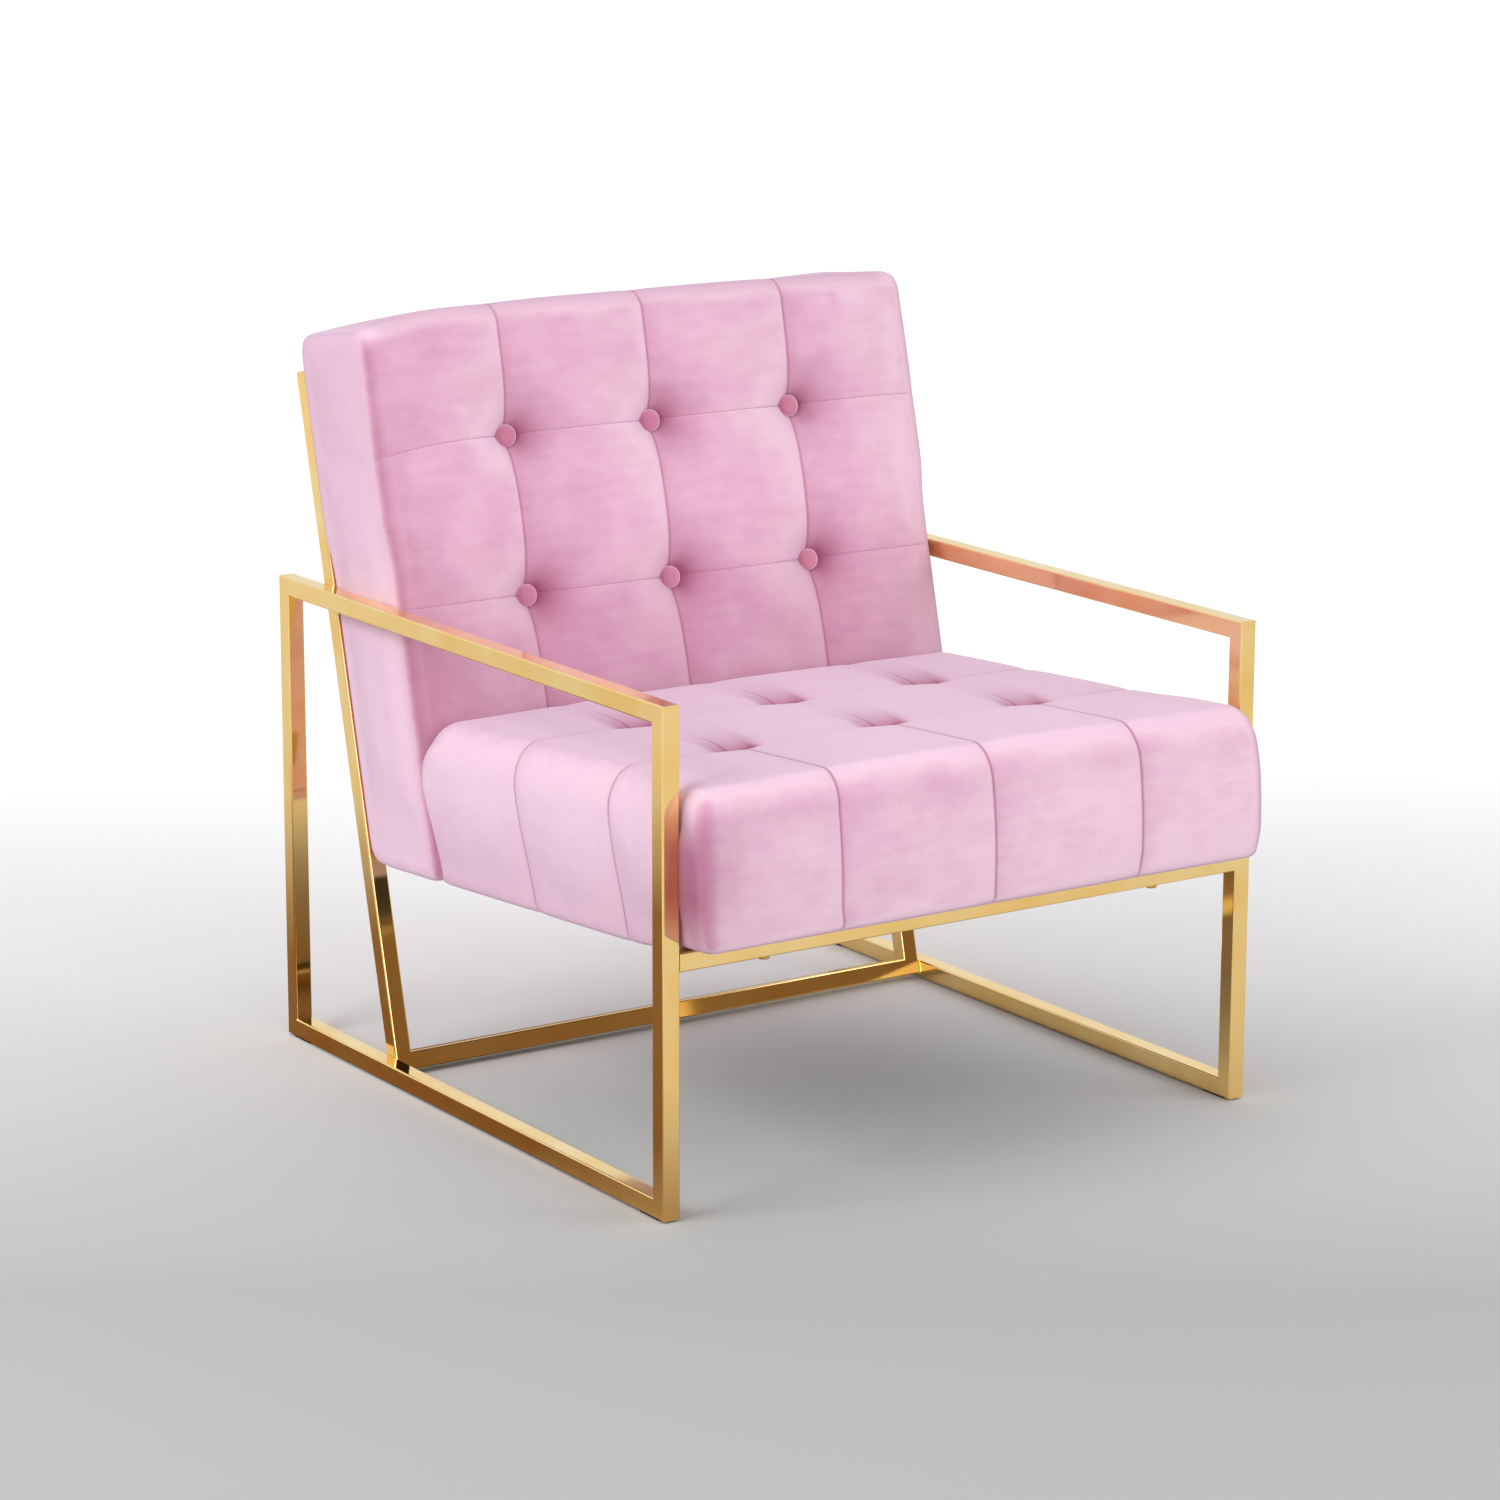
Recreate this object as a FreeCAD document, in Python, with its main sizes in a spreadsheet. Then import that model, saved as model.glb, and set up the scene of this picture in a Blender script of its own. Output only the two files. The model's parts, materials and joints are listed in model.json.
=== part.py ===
import FreeCAD, Part
import os

import Sketcher

# Lounge armchair: two closed loops of square tube carry a leaning back frame and a front seat rail,
# and a deep tufted seat and back are bolted to them. x runs to the right as seen from the front,
# y to the rear and z up. The origin is on the floor, at the middle of the chair's outline.
# Millimetres and degrees.

DIMENSIONS = {
    # square tube frame
    "tube": 20,
    "wall": 1.5,
    "tube_edge": 2,
    "frame_width": 735,
    "loop_front": -362,
    "loop_depth": 768,
    "arm_height": 520,
    "glide": 2,
    "glide_width": 16,
    "glide_length": 34,
    "glide_inset": 12,
    "front_rail_height": 253,
    # tilted back frame
    "lean": 13.6,
    "back_foot": 195.7,
    "upright_length": 761,
    "cap": 2,
    "tab": 3,
    "tab_width": 30,
    "tab_height": 40,
    "upper_tab": 625,
    "lower_tab": 300,
    # seat, measured along its own tilt from the front rail's rear top edge
    "seat_tilt": 3.5,
    "cushion_width": 690,
    "cover": 3,
    "cover_edge": 8,
    "seat_nose": 64.6,
    "seat_depth": 448.5,
    "seat_height": 161,
    "seat_drop": 10.6,
    "side_board_length": 570.5,
    # boards, straps and pads inside both cushions
    "board": 20,
    "board_inset": 17,
    "seat_board_height": 50,
    "seat_board_drop": 6,
    "strap": 2,
    "strap_width": 50,
    "dust_cloth": 1,
    "block_leg": 45,
    # back cushion, measured along the uprights from their foot
    "back_thickness": 141,
    "back_top": 806,
    "back_bottom": 225.9,
    "rear_panel": 3,
    "edge_pad": 8,
    "stile": 52,
    "back_board_height": 60,
    "frame_bottom": 245,
    "frame_top": 790,
    # tufting
    "column": 183,
    "seat_front_row": 116,
    "seat_rear_row": 290,
    "back_lower_row": 492,
    "back_upper_row": 664,
    "button": 24,
    "button_height": 11,
    "button_edge": 5,
    "button_recess": 12,
    "button_well": 34,
    "twine": 2.5,
    "twine_hole": 4,
    "toggle": 26,
    "toggle_height": 3,
    "blind_tuft": 22,
    # fasteners, M6
    "bolt": 6,
    "bolt_hole": 7,
    "bolt_head": 12,
    "bolt_head_height": 4,
    "bolt_head_edge": 1.5,
    "rail_bolt_x": 243,
    "rail_bolt_length": 36,
    "back_bolt_length": 22,
    "nut_bore": 6.4,
    "nut_barrel": 8,
    "nut_flange": 18,
    "nut_flange_height": 1.5,
    "nut_length": 12,
    "insert": 10,
    "insert_length": 16,
    "fit_gap": 0.4,
}

OUT = "parts"
SIDES = {"left": -1, "right": 1}
EDGE_TOLERANCE = 0.05
DIRECTIONS = {"X": FreeCAD.Vector(1, 0, 0), "Y": FreeCAD.Vector(0, 1, 0), "Z": FreeCAD.Vector(0, 0, 1)}
NORMAL_PLANE = {"X": "YZ_Plane", "Y": "XZ_Plane", "Z": "XY_Plane"}
HEAD_SIDE = {"XY_Plane": FreeCAD.Vector(0, 0, -1), "XZ_Plane": FreeCAD.Vector(0, 1, 0)}

doc = FreeCAD.newDocument("lounge_armchair")
nodes = []


def make_sheet():
    """The driving dimensions, one row each."""
    sheet = doc.addObject("Spreadsheet::Sheet", "dims")
    for row, (alias, value) in enumerate(DIMENSIONS.items(), start=1):
        sheet.set(f"A{row}", alias)
        sheet.set(f"B{row}", str(value))
        sheet.setAlias(f"B{row}", alias)
    doc.recompute()
    return sheet


def dim(text):
    """An expression over the sheet: every alias in text gets the sheet's name."""
    words = []
    word = ""
    for letter in text + " ":
        if letter.isalnum() or letter in "_.":
            word += letter
            continue
        words.append(f"dims.{word}" if word in DIMENSIONS else word)
        words.append(letter)
        word = ""
    return "".join(words).strip()


# The three frames that parts are placed in: origin y, origin z and lean to the rear.
ROOM = ("0", "0", "0")
SEAT = ("loop_front + tube", "front_rail_height + tube", "seat_tilt")
BACK = ("back_foot", "glide + tube * sin(lean)", "lean")

# Planes that several parts share.
HALF_FRAME = "frame_width / 2"
HALF_GAP = "(frame_width / 2 - tube)"
HALF_CUSHION = "cushion_width / 2"
SLOPE = "tan(lean - seat_tilt)"
BOARD_OUTER = "(cushion_width / 2 - cover - board_inset)"
STRAP_TOP = "(seat_board_height + 2 * strap)"

# Where straps lie, counted in tuft columns from the middle.
SEAT_CROSS_STEPS = ("-0.9", "0", "0.9")
SEAT_LONG_STEPS = ("-1.5", "-0.5", "0.5", "1.5")
BACK_CROSS_STEPS = ("-1.3", "-0.85", "0", "0.68")
BACK_UPRIGHT_STEPS = ("-1.4", "-0.5", "0.5", "1.4")


def place(item, frame=ROOM, x="0", y="0", z="0"):
    """Puts an object in a frame; x, y and z are measured along that frame's own axes."""
    origin_y, origin_z, lean = frame
    item.Placement = FreeCAD.Placement(FreeCAD.Vector(), FreeCAD.Rotation(FreeCAD.Vector(-1, 0, 0), 1))
    item.setExpression("Placement.Rotation.Angle", dim(lean))
    item.setExpression("Placement.Base.x", dim(x))
    item.setExpression("Placement.Base.y", dim(f"{origin_y} + ({y}) * cos({lean}) + ({z}) * sin({lean})"))
    item.setExpression("Placement.Base.z", dim(f"{origin_z} - ({y}) * sin({lean}) + ({z}) * cos({lean})"))


def new_body(label):
    """An empty body that becomes the node called label."""
    body = doc.addObject("PartDesign::Body", label)
    body.Label = label
    body.AllowCompound = True
    nodes.append(body)
    return body


def new_sketch(body, role, offset="0"):
    """A sketch on one of the body's origin planes, moved along the plane's normal."""
    sketch = body.newObject("Sketcher::SketchObject", f"{body.Name}_sketch")
    plane = next(item for item in body.Origin.OriginFeatures if item.Role == role)
    sketch.AttachmentSupport = [(plane, "")]
    sketch.MapMode = "FlatFace"
    sketch.setExpression("AttachmentOffset.Base.z", dim(offset))
    return sketch


def pin(sketch, name, geometry, point, u, v):
    """Holds one point of the sketch at the sheet's values."""
    for kind, suffix, text in (("DistanceX", "u", u), ("DistanceY", "v", v)):
        sketch.addConstraint(Sketcher.Constraint(kind, -1, 1, geometry, point, 0.0))
        index = sketch.ConstraintCount - 1
        sketch.renameConstraint(index, f"{name}{suffix}")
        sketch.setExpression(f"Constraints.{name}{suffix}", dim(text))


def outline(sketch, points):
    """A closed outline of straight edges through points, each a pair of expressions."""
    first = sketch.GeometryCount
    total = len(points)
    rough = [FreeCAD.Vector(float(value_of(u)), float(value_of(v)), 0) for u, v in points]
    for index in range(total):
        sketch.addGeometry(Part.LineSegment(rough[index], rough[(index + 1) % total]), False)
    for index in range(total):
        after = (index + 1) % total
        sketch.addConstraint(Sketcher.Constraint("Coincident", first + index, 2, first + after, 1))
        u, v = points[index]
        pin(sketch, f"p{first + index}", first + index, 1, u, v)


def rectangle(sketch, low_u, low_v, high_u, high_v):
    """A closed rectangle between two corners."""
    outline(sketch, [(low_u, low_v), (high_u, low_v), (high_u, high_v), (low_u, high_v)])


def circle(sketch, u, v, diameter):
    """A circle with its centre and diameter held by the sheet."""
    centre = FreeCAD.Vector(value_of(u), value_of(v), 0)
    radius = value_of(diameter) / 2
    index = sketch.addGeometry(Part.Circle(centre, FreeCAD.Vector(0, 0, 1), radius), False)
    pin(sketch, f"c{index}", index, 3, u, v)
    sketch.addConstraint(Sketcher.Constraint("Diameter", index, 2 * radius))
    sketch.renameConstraint(sketch.ConstraintCount - 1, f"c{index}d")
    sketch.setExpression(f"Constraints.c{index}d", dim(diameter))


def value_of(text):
    """The number that an expression over the driving dimensions comes to, to start a sketch near it."""
    probe = sheet.evalExpression(dim(text))
    return float(getattr(probe, "Value", probe))


def pad(body, sketch, length, symmetric=False, backwards=False):
    """Material from the sketch outward."""
    feature = body.newObject("PartDesign::Pad", f"{body.Name}_pad")
    feature.Profile = sketch
    feature.setExpression("Length", dim(length))
    feature.SideType = "Symmetric" if symmetric else "One side"
    feature.Reversed = backwards
    doc.recompute()
    return feature


def pocket(body, sketch, length, symmetric=False, backwards=False):
    """Material taken away from the sketch inward; it must remove something."""
    before = body.Shape.Volume
    feature = body.newObject("PartDesign::Pocket", f"{body.Name}_pocket")
    feature.Profile = sketch
    feature.setExpression("Length", dim(length))
    feature.SideType = "Symmetric" if symmetric else "One side"
    feature.Reversed = backwards
    doc.recompute()
    if body.Shape.Volume >= before:
        raise RuntimeError(f"{body.Label}: a pocket cut nothing")
    return feature


def fillet(body, radius, wanted):
    """Rounds the edges that wanted picks out of the body's last feature."""
    base = body.Tip
    names = [f"Edge{number}" for number, edge in enumerate(base.Shape.Edges, start=1) if wanted(edge)]
    feature = body.newObject("PartDesign::Fillet", f"{body.Name}_fillet")
    feature.Base = (base, names)
    feature.setExpression("Radius", dim(radius))
    doc.recompute()
    return feature


def runs_along(edge, direction):
    """Whether a straight edge is parallel to direction."""
    if not isinstance(edge.Curve, Part.Line):
        return False
    return abs(edge.Curve.Direction.dot(direction)) > 1 - EDGE_TOLERANCE


def is_circle(edge, diameter):
    """Whether an edge is round and has the diameter that the expression gives."""
    return abs(getattr(edge.Curve, "Radius", 0) - value_of(diameter) / 2) < EDGE_TOLERANCE


def tube(label, axis, length, frame, x, y, z, mitre=None, ends="both"):
    """A hollow square tube along axis from its placed start.

    mitre is the plane of the cuts and the side, -1 or 1, that stays short; ends says which are cut.
    """
    body = new_body(label)
    profile = new_sketch(body, NORMAL_PLANE[axis])
    half = "tube / 2"
    bore = "(tube / 2 - wall)"
    rectangle(profile, f"-{half}", f"-{half}", half, half)
    rectangle(profile, f"-{bore}", f"-{bore}", bore, bore)
    pad(body, profile, length, backwards=axis == "Y")
    reach = value_of(half) - EDGE_TOLERANCE

    def is_outer(edge):
        middle = edge.CenterOfMass
        across = [abs(middle[i]) for i in range(3) if "XYZ"[i] != axis]
        return runs_along(edge, DIRECTIONS[axis]) and min(across) > reach

    fillet(body, "tube_edge", is_outer)
    if mitre:
        plane, short = mitre
        cut = new_sketch(body, plane)
        far = half if short > 0 else f"-{half}"
        near = f"-{half}" if short > 0 else half
        corners = []
        if ends in ("both", "start"):
            corners.append([("0", near), ("0", far), ("tube", far)])
        if ends in ("both", "end"):
            corners.append([(length, near), (length, far), (f"{length} - tube", far)])
        for corner in corners:
            turned = [(across, along) for along, across in corner] if axis == "Z" else corner
            outline(cut, turned)
        pocket(body, cut, "2 * tube", symmetric=True)
    place(body, frame, x, y, z)
    return body


def drill(body, role, offset, spots, diameter, length, backwards=False):
    """Round holes from a plane of the body."""
    sketch = new_sketch(body, role, offset)
    for u, v in spots:
        circle(sketch, u, v, diameter)
    pocket(body, sketch, length, backwards=backwards)


def board(label, frame, x, y, z, width, depth, height):
    """A plain board from its lowest corner."""
    body = new_body(label)
    sketch = new_sketch(body, "XY_Plane")
    rectangle(sketch, "0", "0", width, depth)
    pad(body, sketch, height)
    place(body, frame, x, y, z)
    return body


def slab(label, frame, width, points, x="0"):
    """A solid of one side outline, drawn in the frame's y and z, centred on x."""
    body = new_body(label)
    sketch = new_sketch(body, "YZ_Plane")
    outline(sketch, points)
    pad(body, sketch, width, symmetric=True)
    place(body, frame, x)
    return body


def at_height(height, depth):
    """Where the plane at a height above the seat's support crosses a depth of the back frame."""
    lift = f"({height} + seat_drop) / cos(lean - seat_tilt)"
    return f"back_bottom + {lift} + ({depth}) * {SLOPE}"


# ---- steel frame ----

def make_loop(side, sign):
    """Arm rail, base rail and two posts, mitred into a closed loop."""
    x = f"{sign} * ({HALF_FRAME} - tube / 2)"
    rear = "loop_front + loop_depth"
    base = "glide + tube / 2"
    post = "arm_height - glide"
    plane = "YZ_Plane"
    tube(f"{side}_front_post", "Z", post, ROOM, x, "loop_front + tube / 2", "glide", (plane, 1))
    tube(f"{side}_rear_post", "Z", post, ROOM, x, f"{rear} - tube / 2", "glide", (plane, -1))
    tube(f"{side}_base_rail", "Y", "loop_depth", ROOM, x, "loop_front", base, (plane, 1))
    tube(f"{side}_arm_rail", "Y", "loop_depth", ROOM, x, "loop_front", "arm_height - tube / 2", (plane, -1))


def make_glides(side, sign):
    """Low nylon pads under the two ends of a base rail."""
    x = f"{sign} * ({HALF_FRAME} - tube / 2) - glide_width / 2"
    rear = "loop_front + loop_depth - glide_inset - glide_length"
    for end, y in (("front", "loop_front + glide_inset"), ("rear", rear)):
        board(f"{side}_{end}_glide", ROOM, x, y, "0", "glide_width", "glide_length", "glide")


def make_back_frame():
    """Two uprights and the crossbar at their foot, in one leaning plane."""
    tube(
        "lower_back_crossbar", "X", f"2 * {HALF_GAP}", BACK,
        f"-{HALF_GAP}", "tube / 2", "tube / 2", ("XZ_Plane", 1),
    )
    for side, sign in SIDES.items():
        x = f"{sign} * ({HALF_GAP} - tube / 2)"
        length = "upright_length - cap"
        tube(f"{side}_back_upright", "Z", length, BACK, x, "tube / 2", "0", ("XZ_Plane", -sign), "start")
        make_upright_cap(side, x)
        for height, at in (("upper", "upper_tab"), ("lower", "lower_tab")):
            make_tab(f"{side}_{height}_back_tab", sign, at)


def make_upright_cap(side, x):
    """The plate that closes an upright's open top."""
    body = new_body(f"{side}_upright_cap")
    sketch = new_sketch(body, "XY_Plane")
    rectangle(sketch, "-tube / 2", "-tube / 2", "tube / 2", "tube / 2")
    pad(body, sketch, "cap")
    fillet(body, "tube_edge", lambda edge: runs_along(edge, DIRECTIONS["Z"]))
    place(body, BACK, x, "tube / 2", "upright_length - cap")


def make_tab(label, sign, at):
    """A drilled lug welded to an upright's inner face, flush with its front."""
    body = new_body(label)
    sketch = new_sketch(body, "XZ_Plane")
    rectangle(sketch, "-tab_width / 2", "-tab_height / 2", "tab_width / 2", "tab_height / 2")
    circle(sketch, "0", "0", "bolt_hole")
    pad(body, sketch, "tab", backwards=True)
    place(body, BACK, f"{sign} * ({HALF_GAP} - tube - tab_width / 2)", "0", at)


def make_front_rail():
    """The seat's front rail, drilled for its two bolts."""
    rail = tube(
        "front_seat_rail", "X", f"2 * {HALF_GAP}", ROOM,
        f"-{HALF_GAP}", "loop_front + tube / 2", "front_rail_height + tube / 2",
    )
    spots = [(f"{HALF_GAP} + {sign} * rail_bolt_x", "0") for sign in SIDES.values()]
    drill(rail, "XY_Plane", "-tube", spots, "bolt_hole", "2 * tube", backwards=True)


# ---- fasteners ----

def make_bolts(label, frame, role, spots, seat, length):
    """Round-headed bolts; the head stands on the plane at seat and the shank runs the other way."""
    body = new_body(label)
    heads = new_sketch(body, role, seat)
    shanks = new_sketch(body, role, seat)
    for u, v in spots:
        circle(heads, u, v, "bolt_head")
        circle(shanks, u, v, "bolt")
    pad(body, heads, "bolt_head_height", backwards=True)
    away = HEAD_SIDE[role]
    free = max(edge.CenterOfMass.dot(away) for edge in body.Tip.Shape.Edges) - EDGE_TOLERANCE
    fillet(body, "bolt_head_edge", lambda edge: (
        is_circle(edge, "bolt_head") and edge.CenterOfMass.dot(away) > free
    ))
    pad(body, shanks, length)
    place(body, frame)
    return body


def rings(label, frame, role, spots, offset, steps):
    """Stacked drilled discs: each step is an outer diameter, a bore, a length and its way."""
    body = new_body(label)
    for outer, bore, length, backwards in steps:
        sketch = new_sketch(body, role, offset)
        for u, v in spots:
            circle(sketch, u, v, outer)
            circle(sketch, u, v, bore)
        pad(body, sketch, length, backwards=backwards)
    place(body, frame)
    return body


def discs(label, frame, role, spots, offset, diameter, length, backwards=False):
    """Equal round solids on one plane."""
    body = new_body(label)
    sketch = new_sketch(body, role, offset)
    for u, v in spots:
        circle(sketch, u, v, diameter)
    pad(body, sketch, length, backwards=backwards)
    place(body, frame)
    return body


def make_fasteners():
    """Bolts with their nuts: two up through the front rail, four through the back's tabs."""
    rail = [(f"{sign} * rail_bolt_x", "loop_front + tube / 2") for sign in SIDES.values()]
    make_bolts("front_rail_bolts", ROOM, "XY_Plane", rail, "front_rail_height", "rail_bolt_length")
    rings(
        "front_rail_inserts", ROOM, "XY_Plane", rail, "front_rail_height + tube",
        [("insert", "nut_bore", "insert_length", False)],
    )
    make_bolts("back_bolts", BACK, "XZ_Plane", tab_spots(), "-tab", "back_bolt_length")
    rings(
        "back_tee_nuts", BACK, "XZ_Plane", tab_spots(), "board + rear_panel",
        [
            ("nut_flange", "nut_bore", "nut_flange_height", False),
            ("nut_barrel", "nut_bore", "nut_length", True),
        ],
    )


def tab_spots():
    """The four tab holes in the back frame's x and z."""
    x = f"({HALF_GAP} - tube - tab_width / 2)"
    return [(f"{sign} * {x}", at) for sign in SIDES.values() for at in ("upper_tab", "lower_tab")]


# ---- seat ----

def seat_rear(height, gap="0"):
    """How far back the seat reaches at a height, along its own tilt."""
    return f"seat_depth + ({height}) * {SLOPE} - {gap}"


def seat_tufts():
    """The six tufts in the seat's x and y."""
    rows = ("seat_front_row", "seat_rear_row")
    return [(column, row) for row in rows for column in ("-column", "0", "column")]


def make_seat_cover():
    """Top, nose and sides in one skin, open under the seat and behind it."""
    body = slab("seat_cover", SEAT, "cushion_width", [
        ("-seat_nose", "0"),
        ("-seat_nose", "seat_height"),
        (seat_rear("seat_height"), "seat_height"),
        (seat_rear("-seat_drop"), "-seat_drop"),
        ("fit_gap + seat_drop * tan(seat_tilt)", "-seat_drop"),
        ("fit_gap", "0"),
    ])
    side = value_of(HALF_CUSHION) - EDGE_TOLERANCE
    nose = -value_of("seat_nose") + EDGE_TOLERANCE
    top = value_of("seat_height") - EDGE_TOLERANCE

    def is_edge(edge):
        middle = edge.CenterOfMass
        on_side = abs(middle.x) > side and (middle.z > top or middle.y < nose)
        along = runs_along(edge, DIRECTIONS["X"]) and middle.y < nose
        return on_side or along

    fillet(body, "cover_edge", is_edge)
    hollow = new_sketch(body, "YZ_Plane")
    front = "-seat_nose + cover"
    outline(hollow, [
        (front, "cover"),
        (front, "seat_height - cover"),
        ("2 * seat_depth", "seat_height - cover"),
        ("2 * seat_depth", "-2 * seat_drop"),
        ("-tube - 2 * fit_gap", "-2 * seat_drop"),
        ("-tube - 2 * fit_gap", "cover"),
    ])
    pocket(body, hollow, "cushion_width - 2 * cover", symmetric=True)


def make_seat_foam():
    """The foam block with its nose in front of the rail, pierced for the tuft twines."""
    behind_board = "-tube - seat_board_height * tan(seat_tilt) - fit_gap"
    body = slab("seat_foam", SEAT, "cushion_width - 2 * cover", [
        ("-seat_nose + cover", "cover"),
        ("-seat_nose + cover", "seat_height - cover"),
        (seat_rear("seat_height - cover"), "seat_height - cover"),
        (seat_rear(STRAP_TOP), STRAP_TOP),
        (behind_board, STRAP_TOP),
        (behind_board, "cover"),
    ])
    depth = "seat_height - cover - blind_tuft"
    drill(body, "XY_Plane", "0", seat_tufts(), "twine_hole", depth, backwards=True)


def make_seat_boards():
    """The seat's beech frame: front board on the rail, side boards back to the back's stiles."""
    front = board(
        "seat_front_board", ROOM, f"-{BOARD_OUTER}", "loop_front", "front_rail_height + tube",
        f"2 * {BOARD_OUTER}", "tube", "seat_board_height + strap",
    )
    spots = [(f"{BOARD_OUTER} + {sign} * rail_bolt_x", "tube / 2") for sign in SIDES.values()]
    depth = "insert_length + 2 * bolt_head_height"
    drill(front, "XY_Plane", "0", spots, "insert + fit_gap", depth, backwards=True)
    board(
        "seat_rear_board", SEAT, f"-{BOARD_OUTER} + board", "seat_depth - 2 * board", "-seat_board_drop",
        f"2 * ({BOARD_OUTER} - board)", "board", "seat_board_height + seat_board_drop + strap",
    )
    low = "-seat_board_drop"
    high = "seat_board_height"
    for side, sign in SIDES.items():
        points = [
            ("seat_board_drop * tan(seat_tilt)", low),
            (f"-{high} * tan(seat_tilt)", high),
            (f"side_board_length + {high} * {SLOPE}", high),
            (f"side_board_length - seat_board_drop * {SLOPE}", low),
        ]
        slab(f"{side}_seat_side_board", SEAT, "board", points, f"{sign} * ({BOARD_OUTER} - board / 2)")


def make_corner_blocks():
    """Glued triangular blocks in the four inside corners of the seat frame."""
    body = new_body("seat_corner_blocks")
    sketch = new_sketch(body, "XY_Plane")
    rear = "(seat_depth - 2 * board)"
    for sign in SIDES.values():
        x = f"{sign} * ({BOARD_OUTER} - board)"
        inner = f"{x} - {sign} * block_leg"
        outline(sketch, [(x, "fit_gap"), (inner, "fit_gap"), (x, "fit_gap + block_leg")])
        outline(sketch, [(x, rear), (inner, rear), (x, f"{rear} - block_leg")])
    pad(body, sketch, "seat_board_height - strap")
    place(body, SEAT)


def make_straps(label, frame, role, offset, rects):
    """Flat elastic straps, each a rectangle on one plane."""
    body = new_body(label)
    sketch = new_sketch(body, role, offset)
    for low_u, low_v, high_u, high_v in rects:
        rectangle(sketch, low_u, low_v, high_u, high_v)
    pad(body, sketch, "strap")
    place(body, frame)


def spans(steps, middle="0"):
    """The two edges of a strap at each step from the middle."""
    centres = [f"{middle} + {step} * column" for step in steps]
    return [(f"{centre} - strap_width / 2", f"{centre} + strap_width / 2") for centre in centres]


def make_seat_webbing():
    """Cross straps on the side boards, long straps over them on the front and rear boards."""
    between = "(seat_front_row + seat_rear_row) / 2"
    cross = [(f"-{BOARD_OUTER}", low, BOARD_OUTER, high) for low, high in spans(SEAT_CROSS_STEPS, between)]
    make_straps("seat_cross_webbing", SEAT, "XY_Plane", "seat_board_height", cross)
    long = [(low, "-board", high, "seat_depth - board") for low, high in spans(SEAT_LONG_STEPS)]
    make_straps("seat_long_webbing", SEAT, "XY_Plane", "seat_board_height + strap", long)


def make_seat_tufts():
    """Blind tufts: a twine from each dimple down to a toggle under the foam."""
    length = f"seat_height - cover - blind_tuft - {STRAP_TOP}"
    discs("seat_tuft_twines", SEAT, "XY_Plane", seat_tufts(), STRAP_TOP, "twine", length)
    low = f"{STRAP_TOP} - toggle_height"
    discs("seat_tuft_toggles", SEAT, "XY_Plane", seat_tufts(), low, "toggle", "toggle_height")


def make_seat_side_pads():
    """Wadding between each side board and the cover."""
    for side, sign in SIDES.items():
        points = [
            ("fit_gap + seat_board_drop * tan(seat_tilt)", "-seat_board_drop"),
            ("fit_gap", "0"),
            ("fit_gap", STRAP_TOP),
            (seat_rear(STRAP_TOP), STRAP_TOP),
            (seat_rear("-seat_board_drop"), "-seat_board_drop"),
        ]
        middle = f"{sign} * ({BOARD_OUTER} + board_inset / 2)"
        slab(f"{side}_seat_side_pad", SEAT, "board_inset", points, middle)


def make_dust_cover():
    """Black cloth stapled under the seat frame, with its edges turned in under the side boards."""
    inner = f"({BOARD_OUTER} - cover)"
    board(
        "seat_dust_cover", SEAT, f"-{inner}", "board / 2", "-seat_board_drop - dust_cloth",
        f"2 * {inner}", "seat_depth - board", "dust_cloth",
    )


# ---- back ----

def button_spots():
    """The six buttons in the back's x and z, by name."""
    columns = {"left": "-column", "middle": "0", "right": "column"}
    rows = {"upper": "back_upper_row", "lower": "back_lower_row"}
    return {
        f"{row}_{column}": (x, z) for row, z in rows.items() for column, x in columns.items()
    }


def make_back_cover():
    """Front, top, bottom and sides in one skin, open behind and where the seat meets it."""
    front = "-back_thickness"
    body = slab("back_cover", BACK, "cushion_width", [
        (front, f"back_bottom - back_thickness * {SLOPE}"),
        (front, "back_top"),
        ("0", "back_top"),
        ("0", "back_bottom"),
    ])
    side = value_of(HALF_CUSHION) - EDGE_TOLERANCE
    depth = value_of(front) + EDGE_TOLERANCE
    top = value_of("back_top") - EDGE_TOLERANCE

    def is_edge(edge):
        middle = edge.CenterOfMass
        on_side = abs(middle.x) > side and (middle.z > top or middle.y < depth)
        along = runs_along(edge, DIRECTIONS["X"]) and middle.y < depth and middle.z > top
        return on_side or along

    fillet(body, "cover_edge", is_edge)
    hollow = new_sketch(body, "YZ_Plane")
    inner = "-back_thickness + cover"
    outline(hollow, [
        (inner, f"back_bottom + cover - back_thickness * {SLOPE}"),
        (inner, "back_top - cover"),
        ("tube", "back_top - cover"),
        ("tube", f"back_bottom + cover + tube * {SLOPE}"),
    ])
    pocket(body, hollow, "cushion_width - 2 * cover", symmetric=True)
    window = new_sketch(body, "XZ_Plane", "back_thickness - 2 * cover")
    sill = at_height("cover - seat_drop", "-back_thickness")
    rectangle(window, f"-{BOARD_OUTER}", sill, BOARD_OUTER, at_height(STRAP_TOP, "-back_thickness"))
    pocket(body, window, "3 * cover", backwards=True)
    wells = list(button_spots().values())
    face = "back_thickness - 2 * cover"
    drill(body, "XZ_Plane", face, wells, "button_well", "3 * cover", backwards=True)


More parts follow.
